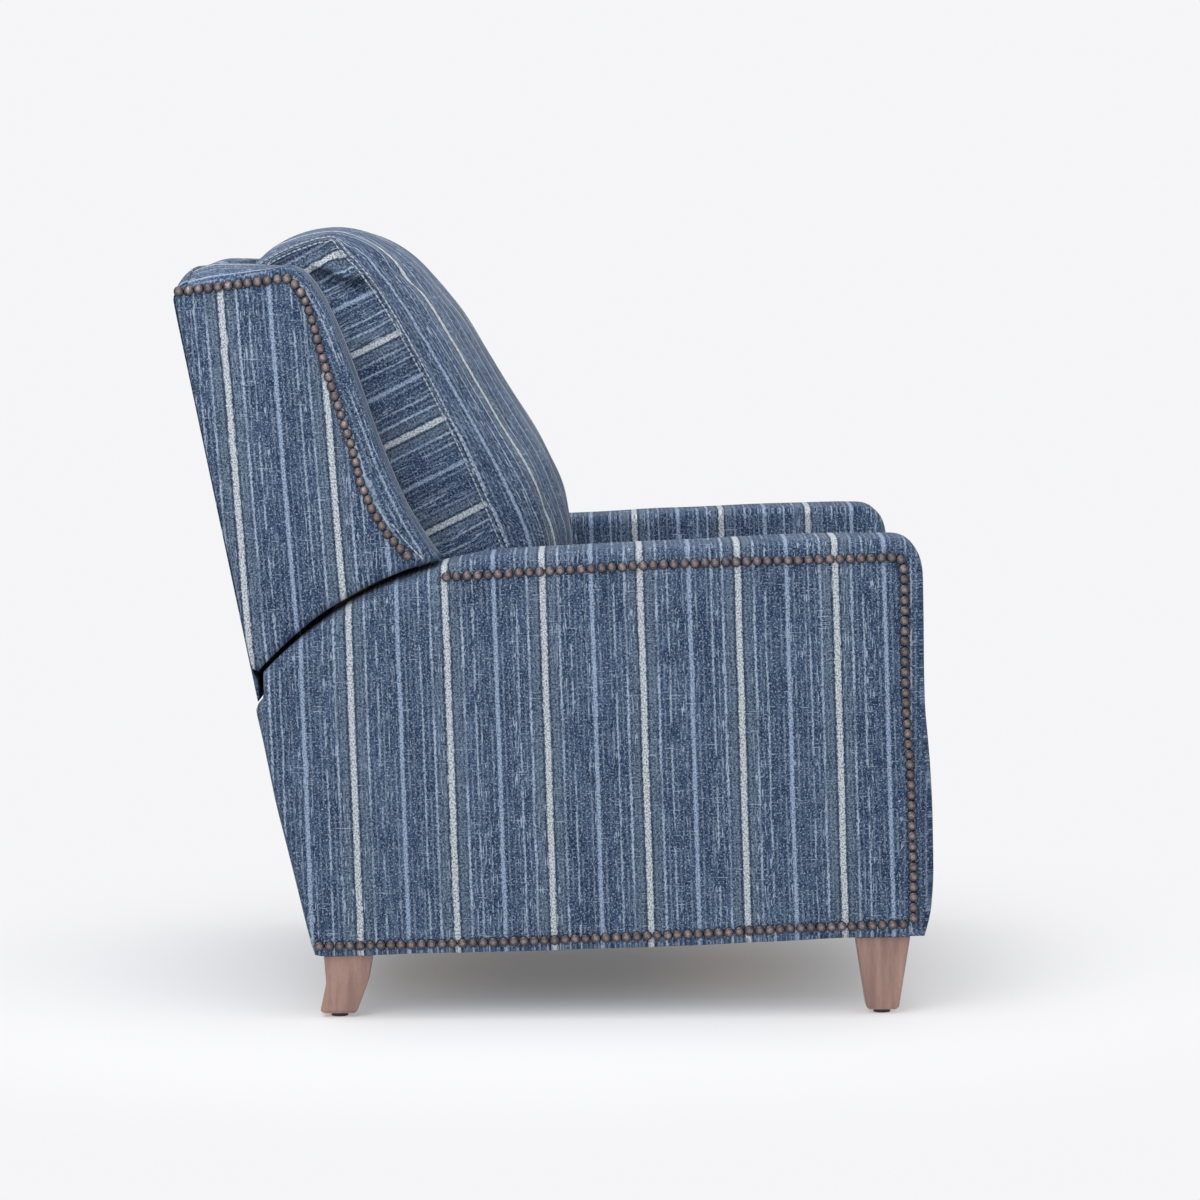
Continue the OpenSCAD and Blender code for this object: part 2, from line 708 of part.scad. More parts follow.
// Footrest links on both sides
module drive_link(side) {
    color(steel_grey) on_side(side) plate(3) difference() {
        bar(drive_pivot, drive_end, link_w);
        bores([drive_pivot, crossing, drive_end], pin_hole_r);
    }
}

module drive_pivots() {
    color(zinc) for (side = [-1, 1]) on_side(side) {
        pivot(drive_pivot, 2);
        pivot(drive_end, 2);
    }
}

module cross_link(side) {
    color(steel_grey) on_side(side) plate(4) difference() {
        bar(cross_low, foot_pivot, link_w);
        bores([cross_low, crossing, foot_pivot], pin_hole_r);
    }
}

module cross_pivots() {
    color(zinc) for (side = [-1, 1]) on_side(side) {
        pivot(crossing, 3);
        pivot(foot_pivot, 3);
        pivot(cross_low, 4);
    }
}

// Studs are sunk into their links by stud_sink
stud_sink = 0.5;
head_gap = 0.3;

// The tail link's upper end is a fixed stud that runs in the seat plate's slot
module tail_links() {
    color(steel_grey) for (side = [-1, 1]) on_side(side) {
        plate(5) difference() {
            bar(cross_low, tail_pin, tail_w);
            bore(cross_low, pin_hole_r);
        }
        turned(tail_pin, layer_out(5) - stud_sink,
            [[layer_out(2) + head_gap, pin_r], [layer_out(2) + head_gap + head_t, head_r]]);
    }
}

// The top link has a fixed stud at its outer end that closes the loop on the footrest bracket
module top_links() {
    color(steel_grey) for (side = [-1, 1]) on_side(side) {
        plate(2) difference() {
            bar(drive_end, foot_low, link_w);
            bore(drive_end, pin_hole_r);
        }
        turned(foot_low, layer_in(3) - rub - head_t,
            [[layer_out(3) + rub, pin_r - loop_play], [layer_in(2) + stud_sink, head_r]]);
    }
}

// Back frame, between the cushion's rear plane and the outside back
cushion_gap = 24;
cushion_low = cushion_h + cushion_gap;
cushion_rear_low = [hinge_y - 10, cushion_low];
cushion_rear_top = [crest_c[0] - 73.5, back_h + 16];
cushion_rear_slope = (cushion_rear_top[0] - cushion_rear_low[0]) / (cushion_rear_top[1] - cushion_low);
function cushion_rear_y(z) = cushion_rear_low[0] + (z - cushion_low) * cushion_rear_slope;
frame_gap = 4;
function frame_front_y(z) = cushion_rear_y(z) + frame_gap;
function frame_rear_y(z) = back_rear_y(z) - outside_t - seat_play;
back_side_top = back_h - 99;
back_side_low = deck_h - 6;
back_side_out = layer_in(3) - seat_play;
bracket_knee = hinge + [18, 110];
bracket_top = hinge + [52, 210];
bracket_w = 32;
lower_rail_z = cushion_low + 100;
lower_hole_r = 30;

module back_bracket(side) {
    color(steel_grey) on_side(side) plate(3) difference() {
        union() {
            bar(hinge, bracket_knee, bracket_w);
            run(bracket_knee, bracket_top, bracket_w);
            disc(bracket_top, bracket_w / 2);
        }
        bore(hinge, pin_hole_r);
        bores([[hinge_y + 24, hinge_z + 135], [hinge_y + 46, hinge_z + 190]], 3);
    }
}

module rail_notch(z0, z1) {
    y1 = frame_rear_y(z0) - back_rail_d - seat_play;
    polygon([[y1, z0 - seat_play], [y1 + 90, z0 - seat_play], [y1 + 90, z1 + seat_play],
        [y1, z1 + seat_play]]);
}

// Lightening holes lie midway between the cushion and the outside panel
hole_span = back_side_top - lower_rail_z - back_rail_h;
function hole_z(t) = back_side_top - hole_span * (1 - t);
function side_mid(z) = (frame_front_y(z) + frame_rear_y(z)) / 2;

module back_side(side) {
    color(frame_wood) on_side(side) board(back_side_out - back_board_t, back_side_out) difference() {
        polygon([[frame_front_y(cushion_low) + 12, back_side_low], [hinge_y + 70, back_side_low],
            [hinge_y + 72, cushion_low - 20], [hinge_y + 100, cushion_low + 25],
            [frame_rear_y(cushion_low + 36), cushion_low + 36],
            [frame_rear_y(back_side_top), back_side_top], [frame_front_y(back_side_top), back_side_top],
            [frame_front_y(cushion_low), cushion_low]]);
        rail_notch(lower_rail_z, lower_rail_z + back_rail_h);
        disc([side_mid(lower_rail_z - 20), lower_rail_z - 20], lower_hole_r);
        disc([side_mid(hole_z(0.3)), hole_z(0.3)], hole_span * 0.19);
        disc([side_mid(hole_z(0.74)), hole_z(0.74)], hole_span * 0.14);
    }
}

module back_rail(x, z0, z1) {
    y1 = frame_rear_y(z0);
    color(frame_wood) board(-x, x) polygon([[y1 - back_rail_d, z0], [y1, z0],
        [frame_rear_y(z1), z1], [y1 - back_rail_d, z1]]);
}

wing_set = 5.5;
wing_in = outer_x - wing_t - wing_set;
wing_out = wing_in + wing_t;
between_wings = wing_in - seat_play;

module back_webbing() {
    x = back_side_out;
    lean = atan(cushion_rear_slope);
    span = back_side_top - cushion_low - strap_w;
    color(foam) for (i = [0:strap_count - 1]) {
        z = cushion_low + 20 + i * (span - 20) / max(strap_count - 1, 1);
        translate([-x, frame_front_y(z) - 1.5, z]) rotate([-lean, 0, 0]) cube([2 * x, 1.2, strap_w]);
    }
}

// The outside panel curls over the rear top corner, and the wing and crest pad fill its inside
corner_r = crest_r - outside_t - 2 * seat_play;
crest_low = back_h - 48;
inner_corner = concat([[frame_rear_y(crest_low), crest_low]], arc(crest_c, corner_r, -back_lean, 88, 3));

// Side view of the wing: nested lower edge, straight rear edge and curved front
wing_nest_r = nest_r + nest_gap;
wing_front_a = 75.5;
wing_rear_a = 44.2;
wing_tip = nest_c + wing_nest_r * [cos(wing_front_a), sin(wing_front_a)];
wing_top_d = 130;
wing_top_rise = 23;
wing_top = [crest_c[0] - wing_top_d, back_h + wing_top_rise];
wing_low_z = nest_c[1] + wing_nest_r * sin(wing_rear_a);
wing_over = crest_c + [-corner_r - 8, corner_r + 3];
wing_outline = concat(
    arc(nest_c, wing_nest_r, wing_front_a, wing_rear_a, 9),
    [[frame_rear_y(wing_low_z + 4), wing_low_z + 4]], inner_corner,
    [for (t = [0, 0.3, 0.65]) wing_over + (wing_top - wing_over) * t],
    bez_open([wing_top, wing_top + [-66, -20], [wing_tip[0] + 90, wing_tip[1] + 105], wing_tip], 11));

// The top of the back swells between its shoulders; the swell fades towards the wings' fronts
crest_shoulder = 7;
crest_fade = 100;
function crest_lift(x, p) = crest_crown * (1 - pow(min(abs(x) / wing_out, 1), crest_shoulder))
    * share(p[0], wing_top[0], wing_top[0] + crest_fade) * share(p[1], crest_low, back_h);

module wing(side) {
    color(fabric_blue) on_side(side) upholstered(wing_outline, wing_in, wing_out, edge_r * 0.5, 3, 1);
}

// Panel behind the wings, thinned to a flap that hangs behind the base
module outside_back() {
    step_z = wing_low_z - 8;
    curl_a = 84;
    half_steps = 10;
    outline = concat(
        [[back_rear_y(flap_h), flap_h], [back_rear_y(crest_low), crest_low]],
        arc(crest_c, crest_r, -back_lean, curl_a, 5), arc(crest_c, crest_r - outside_t, curl_a, -back_lean, 4),
        [[back_rear_y(crest_low) - outside_t, crest_low], [back_rear_y(step_z) - outside_t, step_z],
            [back_rear_y(step_z) - flap_t, step_z - 4], [back_rear_y(flap_h) - flap_t, flap_h]]);
    // Stations lie closer together near the shoulders
    xs = [for (i = [-half_steps:half_steps])
        sign(i) * wing_out * (1 - pow(1 - abs(i) / half_steps, 1.5))];
    color(fabric_blue) ring_solid([for (x = xs) [for (p = outline) [x, p[0], p[1] + crest_lift(x, p)]]]);
}

// Padded roll between the wings along the top of the back, up to the cushion
crest_front_y = cushion_rear_y(crest_low) + 1;
module crest_pad() {
    steps = 16;
    top_z = back_h + 14;
    over = crest_c + [-corner_r - 10, corner_r + 12];
    outline = concat([[crest_front_y, crest_low]], inner_corner,
        bez([over, over + [-20, 8], [cushion_rear_y(top_z) + 22, top_z + 2],
            [cushion_rear_y(top_z) + 1, top_z - 6]], 6));
    color(fabric_blue) skin([for (i = [0:steps]) let (x = (2 * i / steps - 1) * between_wings)
        [for (p = outline) [x, p[0], p[1]] + crest_lift(x, p)
            * [0, p[0] < crest_c[0] - 60 ? cushion_rear_slope : 0, 1]]]);
}

// Back cushion: border seams at its sides and a crowned front that rolls over the top
chest_up = 130;
side_corner = cushion_rear_top + [-109, 40];
mid_corner = cushion_rear_top + [-184, 31];
side_front = bez([cushion_rear_low + [-140, 0], cushion_rear_low + [-130, chest_up],
    cushion_rear_top + [-221, -115], side_corner], 11);
side_top = bez([side_corner, side_corner + [23, 4], cushion_rear_top + [-34, 24], cushion_rear_top], 6);
mid_front = bez([cushion_rear_low + [-200, 0], cushion_rear_low + [-245, chest_up],
    cushion_rear_top + [-316, -95], mid_corner], 11);
mid_top = bez([mid_corner, mid_corner + [60, 39], cushion_rear_top + [-36, 68], cushion_rear_top + [5, 20]], 6);
back_cushion_rear = [for (i = [1:4]) let (z = cushion_rear_top[1] - i * (cushion_rear_top[1] - cushion_low) / 4)
    [cushion_rear_y(z), z]];
side_profile = concat(side_front, [for (i = [1:6]) side_top[i]], back_cushion_rear,
    [cushion_rear_low + [-70, 0]]);
mid_profile = concat(mid_front, [for (i = [1:6]) mid_top[i]], back_cushion_rear,
    [cushion_rear_low + [-100, -4]]);

module back_cushion() {
    half = [1, 0.975, 0.93, 0.85, 0.72, 0.54, 0.3];
    us = concat([for (u = half) -u], [0], [for (i = [6:-1:0]) half[i]]);
    rise = back_h - cushion_low;
    wide = between_wings - 2;
    color(fabric_blue) skin([for (u = us) let (w = 1 - pow(abs(u), 3))
        [for (i = [len(mid_profile) - 1:-1:0]) let (p = side_profile[i] * (1 - w) + mid_profile[i] * w,
            t = min(max((p[1] - arm_h) / rise, 0), 1) / 0.6,
            x = moving_x + (wide - moving_x) * min(t, 1))
            [u * x, p[0], p[1]]]]);
}

module lumbar_pad() {
    z0 = deck_h + 8;
    z1 = cushion_low - 4 - seat_play;
    y0 = cushion_back_y + 6;
    y1 = cushion_rear_low[0] - 4;
    shape = rounded_rect(moving_x - 6, (y1 - y0) / 2, 14, 4);
    mid = (y0 + y1) / 2;
    color(fabric_blue) skin([for (l = [[0.8, z0], [0.95, z0 + 3], [1, z0 + 14], [1, z1 - 14], [0.95, z1 - 3],
        [0.8, z1]]) [for (p = shape) [p[0] * (l[0] * 0.1 + 0.9), mid + p[1] * l[0], l[1]]]]);
}

leg_front(1);  // leg_front_l
leg_front(-1);  // leg_front_r
leg_rear(1);  // leg_rear_l
leg_rear(-1);  // leg_rear_r
leg_glides();
arm_frame(1);  // arm_frame_l
arm_frame(-1);  // arm_frame_r
arm_cover(1);  // arm_cover_l
arm_cover(-1);  // arm_cover_r
stretcher(front_stretcher_y);  // front_stretcher
stretcher(rear_stretcher_y);  // rear_stretcher
rear_panel();
base_rail(1);  // base_rail_l
base_rail(-1);  // base_rail_r
base_pivots();
swing_link(1, front_swing_low, front_swing_top, pivot_play);  // front_swing_link_l
swing_link(-1, front_swing_low, front_swing_top, pivot_play);  // front_swing_link_r
cross_tube(swing_mid(front_swing_low, front_swing_top), 1);  // front_cross_tube
swing_link(1, rear_swing_low, rear_swing_top, loop_play);  // rear_swing_link_l
swing_link(-1, rear_swing_low, rear_swing_top, loop_play);  // rear_swing_link_r
cross_tube(swing_mid(rear_swing_low, rear_swing_top), 1);  // rear_cross_tube
seat_plate(1);  // seat_plate_l
seat_plate(-1);  // seat_plate_r
seat_pivots();
seat_side_rail(1);  // seat_side_rail_l
seat_side_rail(-1);  // seat_side_rail_r
seat_front_rail();
seat_rear_rail();
zigzag_springs();
spring_clips();
seat_deck();
seat_cushion();
back_bracket(1);  // back_bracket_l
back_bracket(-1);  // back_bracket_r
back_side(1);  // back_side_l
back_side(-1);  // back_side_r
back_rail(between_wings, back_side_top + seat_play, crest_low - seat_play);  // crest_rail
back_rail(between_wings, lower_rail_z, lower_rail_z + back_rail_h);  // lower_back_rail
back_webbing();
wing(1);  // wing_l
wing(-1);  // wing_r
outside_back();
crest_pad();
back_cushion();
lumbar_pad();
drive_link(1);  // drive_link_l
drive_link(-1);  // drive_link_r
cross_tube(drive_pivot, 3);  // drive_cross_tube
drive_pivots();
cross_link(1);  // cross_link_l
cross_link(-1);  // cross_link_r
cross_pivots();
tail_links();
top_links();
footrest_bracket(1);  // footrest_bracket_l
footrest_bracket(-1);  // footrest_bracket_r
footrest_board();
footrest_pad();
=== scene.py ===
"""Looks of a push-back recliner: striped heathered cloth, nail rows, cushions, timber and steel.

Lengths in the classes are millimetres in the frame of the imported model: the chair faces -Y,
+Z is up and +X is the sitter's left. Side views are arrays of [y, z] points.
"""

import logging
import math
import random
from collections.abc import Callable, Sequence
from dataclasses import dataclass, field
from enum import Enum

import bmesh
import bpy
import numpy as np
from mathutils import Euler, Matrix, Vector, noise
from mathutils.geometry import delaunay_2d_cdt
from mathutils.kdtree import KDTree


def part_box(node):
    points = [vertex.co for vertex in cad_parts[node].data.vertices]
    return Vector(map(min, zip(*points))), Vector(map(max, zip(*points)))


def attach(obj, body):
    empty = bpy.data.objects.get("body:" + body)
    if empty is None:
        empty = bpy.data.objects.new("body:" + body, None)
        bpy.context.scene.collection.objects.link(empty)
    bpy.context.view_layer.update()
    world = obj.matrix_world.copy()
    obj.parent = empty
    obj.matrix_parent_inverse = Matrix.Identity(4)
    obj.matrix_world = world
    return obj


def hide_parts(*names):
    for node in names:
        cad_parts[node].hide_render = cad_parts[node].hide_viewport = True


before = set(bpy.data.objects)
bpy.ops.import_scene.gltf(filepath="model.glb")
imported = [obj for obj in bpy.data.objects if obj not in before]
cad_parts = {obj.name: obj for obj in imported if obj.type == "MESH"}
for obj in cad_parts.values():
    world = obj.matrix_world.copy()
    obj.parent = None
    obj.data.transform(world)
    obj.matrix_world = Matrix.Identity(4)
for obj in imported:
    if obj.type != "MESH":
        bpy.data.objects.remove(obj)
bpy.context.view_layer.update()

LOG = logging.getLogger("recliner")
MM = 0.001
OUTLINE_STEP = 8  # millimetres between the points of a slab's outline
RING_STEP = 11  # millimetres between the rings of a slab's band
ROLL_STEPS = 5  # rings of a slab's rolled edge
FILL_FRAMES = 20  # frames in which a cushion fills
SEAM_FADE = 22  # millimetres from a held seam within which the filling has less effect
NAIL_PRESS = 0.9  # millimetres by which nails press the cloth in
Pair = tuple[float, float]
Triple = tuple[float, float, float]
Pairs = tuple[Pair, ...]
Faces = list[tuple[int, ...]]
Colour = Triple
Mask = Callable[[np.ndarray, np.ndarray, np.ndarray], np.ndarray]
Height = Callable[[np.ndarray, np.ndarray], np.ndarray]


class Side(Enum):
    """The sitter's left or right, with the sign of its X."""

    LEFT = 1
    RIGHT = -1

    @property
    def tag(self) -> str:
        """The ending of a piece's name on this side."""
        return "l" if self is Side.LEFT else "r"

    def span(self, inner: float, outer: float) -> Pair:
        """Lower and upper X of a piece between two distances from the middle."""
        return (inner, outer) if self is Side.LEFT else (-outer, -inner)


class Axis(Enum):
    """The axis along which a flat outline is given its thickness."""

    X = 0
    Y = 1
    Z = 2


# Outlines ---------------------------------------------------------------------------------


def arc(centre: Sequence[float], r: float, a0: float, a1: float, n: int) -> np.ndarray:
    """Points on an arc.

    Args:
        centre: middle of the arc.
        r: radius.
        a0: first angle in degrees.
        a1: last angle in degrees.
        n: number of steps.

    Returns:
        Array of n + 1 points.
    """
    a = np.radians(np.linspace(a0, a1, n + 1))
    return np.array(centre) + r * np.column_stack([np.cos(a), np.sin(a)])


def direction(turn: float) -> np.ndarray:
    """Unit vector at an angle in degrees."""
    return np.array([math.cos(math.radians(turn)), math.sin(math.radians(turn))])


def bezier(points: Sequence[Sequence[float]], n: int) -> np.ndarray:
    """Points on a smooth curve given by its control points.

    Args:
        points: the control points.
        n: number of steps.

    Returns:
        Array of n + 1 points.
    """
    p = np.array(points, float)
    t = np.linspace(0, 1, n + 1)[:, None]
    last = len(p) - 1
    return sum(math.comb(last, k) * (1 - t) ** (last - k) * t**k * p[k] for k in range(last + 1))


def anticlockwise(p: np.ndarray) -> np.ndarray:
    """The outline in anticlockwise order."""
    q = np.roll(p, -1, 0)
    return p if (p[:, 0] * q[:, 1] - q[:, 0] * p[:, 1]).sum() > 0 else p[::-1].copy()


def unit(v: np.ndarray) -> np.ndarray:
    """Rows scaled to length one."""
    return v / np.maximum(np.linalg.norm(v, axis=-1, keepdims=True), 1e-9)


def inward(p: np.ndarray) -> np.ndarray:
    """Inward directions of an anticlockwise outline, longer at its corners.

    Args:
        p: the outline.

    Returns:
        One direction per point.
    """
    a = unit(p - np.roll(p, 1, 0))[:, ::-1] * [-1, 1]
    b = unit(np.roll(p, -1, 0) - p)[:, ::-1] * [-1, 1]
    return (a + b) / np.maximum(1 + (a * b).sum(1), 0.35)[:, None]


def even_steps(run: np.ndarray, step: float) -> np.ndarray:
    """Evenly spaced points on an open line, its end left out.

    Args:
        run: points of the line, in any dimension.
        step: wanted distance.

    Returns:
        Array of points.
    """
    s = np.concatenate([[0], np.cumsum(np.linalg.norm(np.diff(run, axis=0), axis=1))])
    t = np.linspace(0, s[-1], max(1, round(s[-1] / step)) + 1)[:-1]
    return np.column_stack([np.interp(t, s, run[:, k]) for k in range(run.shape[1])])


def resample(p: np.ndarray, step: float, sharp: float = 24) -> np.ndarray:
    """Even spacing round a closed outline, with its sharp corners kept.

    Args:
        p: the outline.
        step: wanted distance.
        sharp: least turn in degrees that counts as a corner.

    Returns:
        The new outline.
    """
    a, b = p - np.roll(p, 1, 0), np.roll(p, -1, 0) - p
    turn = np.abs(np.arctan2(a[:, 0] * b[:, 1] - a[:, 1] * b[:, 0], (a * b).sum(1)))
    corners = np.where(turn > math.radians(sharp))[0]
    corners = corners if len(corners) else np.array([0])
    n, runs = len(p), []
    for i, c in enumerate(corners):
        d = corners[(i + 1) % len(corners)]
        runs.append(even_steps(p[[(c + k) % n for k in range((d - c - 1) % n + 2)]], step))
    return np.vstack(runs)


def follow(points: np.ndarray, line: np.ndarray, closed: bool = False) -> tuple[np.ndarray, np.ndarray]:
    """Distance of each point from a line, and how far along the line it lies.

    Args:
        points: points to measure.
        line: points of the line.
        closed: True if the line returns to its start.

    Returns:
        One distance and one length per point.
    """
    a = line if closed else line[:-1]
    b = np.roll(line, -1, 0) if closed else line[1:]
    best, along, run = np.full(len(points), 1e9), np.zeros(len(points)), 0.0
    for p, q in zip(a, b):
        d = q - p
        size = math.sqrt(max(d @ d, 1e-9))
        t = np.clip(((points - p) @ d) / size**2, 0, 1)
        gap = np.linalg.norm(points - p - t[:, None] * d, axis=1)
        along = np.where(gap < best, run + t * size, along)
        best = np.minimum(best, gap)
        run += size
    return best, along


def edge_distance(points: np.ndarray, line: np.ndarray, closed: bool = True) -> np.ndarray:
    """Distance of each point from a line."""
    return follow(points, line, closed)[0]


def inside(points: np.ndarray, ring: np.ndarray) -> np.ndarray:
    """True for each point that lies inside the ring.

    Args:
        points: flat points.
        ring: points of the ring.

    Returns:
        One truth value per point.
    """
    x, y = points[:, :1], points[:, 1:]
    a, b = ring, np.roll(ring, -1, 0)
    crosses = (a[:, 1] > y) != (b[:, 1] > y)
    with np.errstate(divide="ignore", invalid="ignore"):
        at = a[:, 0] + (y - a[:, 1]) * (b[:, 0] - a[:, 0]) / (b[:, 1] - a[:, 1])
    return (crosses & (x < at)).sum(1) % 2 == 1


def offset_line(line: np.ndarray, d: float) -> np.ndarray:
    """An open line moved sideways by d."""
    t = unit(np.gradient(line, axis=0))
    return line + d * t[:, ::-1] * [-1, 1]


# Meshes -----------------------------------------------------------------------------------


@dataclass
class Form:
    """A closed form: points, faces, and for each face 0 for its band, 1 and 2 for its ends."""

    points: np.ndarray
    faces: Faces
    parts: np.ndarray
    seams: list[list[int]] = field(default_factory=list)


def plain_form(points: Sequence[Sequence[float]], faces: Faces) -> Form:
    """A form whose faces all count as its band."""
    return Form(np.array(points), faces, np.zeros(len(faces), int))


def tube_faces(base: int, around: int, steps: int) -> Faces:
    """Four-sided faces that join equal rings of points in a row.

    Args:
        base: number of the first ring's first point.
        around: points in a ring.
        steps: number of joins.

    Returns:
        The faces, ring after ring.
    """
    corners = ((0, 0), (0, 1), (1, 1), (1, 0))
    return [tuple(base + (j + up) * around + (i + on) % around for up, on in corners)
            for j in range(steps) for i in range(around)]


def level(at: float) -> Height:
    """Height of a flat end face."""
    return lambda flat, d: np.full(len(flat), at)


def values_of(items: bpy.types.bpy_prop_collection, key: str, width: int = 3, kind: type = float) -> np.ndarray:
    """One value of all items of a mesh, such as its points' places.

    Args:
        items: points, faces, corners or normals of the mesh.
        key: name of the value.
        width: numbers in a value.
        kind: type of the numbers.

    Returns:
        One row per item.
    """
    found = np.zeros(len(items) * width, kind)
    items.foreach_get(key, found)
    return found.reshape(-1, width) if width > 1 else found


def set_points(mesh: bpy.types.Mesh, place: np.ndarray) -> None:
    """Moves a mesh's points to new places in metres."""
    mesh.vertices.foreach_set("co", place.ravel())
    mesh.update()


def end_face(ring: np.ndarray, drop: int, step: float, lines: Sequence[np.ndarray] = ()
             ) -> tuple[np.ndarray, Faces, np.ndarray]:
    """Fine triangles that fill a ring, with extra rows of points along given lines.

    Args:
        ring: points of the ring in space.
        drop: index of the axis that the face looks along.
        step: size of the triangles.
        lines: flat lines that get rows of points of their own.

    Returns:
        The flat points, the triangles and the distance of each point from the ring; the ring's
        own points come first.
    """
    flat = np.delete(ring, drop, 1)
    lo, hi = flat.min(0), flat.max(0)
    rows = []
    for k, y in enumerate(np.arange(lo[1] + step / 2, hi[1], step * 0.866)):
        xs = np.arange(lo[0] + step * (0.5 if k % 2 else 1), hi[0], step)
        rows.append(np.column_stack([xs, np.full(len(xs), y)]))
    grid = np.vstack(rows)
    lines = [even_steps(line, step * 0.7) for line in lines]
    extra = [np.vstack([offset_line(line, d) for d in (-5, 0, 5)]) for line in lines]
    for line in lines:
        grid = grid[edge_distance(grid, line, False) > step * 0.9]
    grid = np.vstack([grid, *extra]) if extra else grid
    grid = grid[inside(grid, flat)]
    grid = grid[edge_distance(grid, flat) > step * 0.45]
    both = np.vstack([flat, grid])
    n = len(flat)
    edges = [(i, (i + 1) % n) for i in range(n)]
    found = delaunay_2d_cdt([Vector(p) for p in both], edges, [], 1, 1e-5)
    points = np.array([v[:] for v in found[0]])
    origin = [o[0] if o else -1 for o in found[3]]
    order = {o: i for i, o in enumerate(origin) if o >= 0}
    new = {order[j]: j for j in range(n)}
    for i in range(len(points)):
        new.setdefault(i, len(new))
    back = sorted(new, key=new.get)
    points = points[back]
    return points, [tuple(new[i] for i in f) for f in found[2]], edge_distance(points, flat)


def closed_form(rings: Sequence[np.ndarray], drop: Axis, step: float, low: Height, high: Height,
                lines: Sequence[np.ndarray] = ()) -> Form:
    """Joins rings of equal length by a band and closes both ends with fine faces.

    Args:
        rings: arrays of points from the low end to the high end.
        drop: axis that the end faces look along.
        step: size of the triangles of the ends.
        low: height of the low end along the axis, from its flat points and edge distances.
        high: the same for the high end.
        lines: flat lines with rows of points on both ends.

    Returns:
        The form.
    """
    n = len(rings[0])
    points = [np.vstack(rings)]
    faces = tube_faces(0, n, len(rings) - 1)
    parts = [np.zeros(len(faces), int)]
    total = n * len(rings)
    for part, ring, base, height in ((1, rings[0], 0, low), (2, rings[-1], total - n, high)):
        flat, triangles, d = end_face(ring, drop.value, step, lines)
        inner = np.insert(flat[n:], drop.value, height(flat[n:], d[n:]), 1)
        ids = list(range(base, base + n)) + list(range(total, total + len(inner)))
        points.append(inner)
        faces += [tuple(ids[i] for i in f) for f in triangles]
        parts.append(np.full(len(triangles), part))
        total += len(inner)
    last = n * (len(rings) - 1)
    seams = [list(range(n)), list(range(last, last + n))]
    return Form(np.vstack(points), faces, np.concatenate(parts), seams)


def slab(outline: np.ndarray, axis: Axis, ends: Pair, roll: float, puff: Pair,
         step: float = 11, crown: Callable[[np.ndarray, np.ndarray, np.ndarray], np.ndarray] | None = None,
         lines: Sequence[np.ndarray] = (), soft: float = 60) -> Form:
    """An outline given thickness, with rolled edges, softly domed ends and a crowned band.

    Args:
        outline: closed flat outline.
        axis: axis of the thickness.
        ends: lower and upper limit along the axis.
        roll: radius of the rolled edges.
        puff: dome of the lower and upper end.
        step: size of the triangles of the ends.
        crown: outward swell of the band from place, outward direction and share across.
        lines: flat lines with rows of points on both ends.
        soft: distance from the edge over which the dome rises.

    Returns:
        The form.
    """
    p = resample(anticlockwise(outline), OUTLINE_STEP)
    normal = inward(p)
    lo, hi = ends[0] + puff[0], ends[1] - puff[1]
    turns = np.radians(np.linspace(0, 90, ROLL_STEPS))
    low_side = [(lo + roll * (1 - math.cos(a)), roll * (1 - math.sin(a))) for a in turns]
    high_side = [(hi - roll * (1 - math.cos(a)), roll * (1 - math.sin(a))) for a in turns[::-1]]
    count = max(2, round((hi - lo - 2 * roll) / RING_STEP))
    middle = [(c, 0.0) for c in np.linspace(lo + roll, hi - roll, count + 1)[1:-1]]
    rings = []
    for c, d in low_side + middle + high_side:
        flat = p + d * normal
        if crown is not None:
            flat = flat - unit(normal) * crown(p, -unit(normal), np.full(len(p), (c - lo) / (hi - lo)))[:, None]
        rings.append(np.insert(flat, axis.value, c, 1))

    def dome(base: float, rise: float) -> Height:
        """Height of an end face from its distance to the edge."""
        return lambda flat, d: base + rise * (1 - np.exp(-((d / soft) ** 1.5)))

    return closed_form(rings, axis, step, dome(lo, -puff[0]), dome(hi, puff[1]), lines)


@dataclass(frozen=True)
class Lay:
    """How the cloth lies: the direction across its stripes, along them, and a cream stripe's place."""

    across: Triple
    along: Triple
    start: float = 0.0

    def place(self, points: np.ndarray) -> np.ndarray:
        """Places on the cloth of points in space."""
        return np.column_stack([points @ np.array(self.across) - self.start, points @ np.array(self.along)])


@dataclass(frozen=True)
class EdgeLay:
    """Cloth whose stripes follow an edge seen from the side and fold over it."""

    edge: np.ndarray
    face_x: float
    start: float

    def place(self, points: np.ndarray) -> np.ndarray:
        """Places on the cloth of points in space.

        Args:
            points: places on the cover in millimetres.

        Returns:
            One place on the cloth per point.
        """
        distance, along = follow(points[:, 1:], self.edge)
        across = np.maximum(self.start - 0.9 * distance, 16.5) + self.face_x - np.abs(points[:, 0])
        return np.column_stack([across, along])


@dataclass(frozen=True)
class CrownLay:
    """Cloth wrapped over a crowned front, with its stripes upright and evenly spaced along the surface."""

    half: Callable[[np.ndarray], np.ndarray]
    wide: float
    depth: float
    rise: Callable[[np.ndarray], np.ndarray]
    start: float

    def place(self, points: np.ndarray) -> np.ndarray:
        """Places on the cloth of points in space.

        Args:
            points: places on the cover in millimetres.

        Returns:
            One place on the cloth per point.
        """
        share = 1 - np.linspace(1, 0, 400) ** 3
        steps = np.hypot(np.diff(share) * self.wide, np.diff(self.rise(share)) * self.depth)
        run = np.concatenate([[0], np.cumsum(steps)])
        reach = np.abs(points[:, 0]) / self.half(points[:, 2])
        across = np.sign(points[:, 0]) * np.interp(reach, share, run)
        return np.column_stack([across - self.start, points @ np.array([0, -0.5, 1])])


AnyLay = Lay | EdgeLay | CrownLay


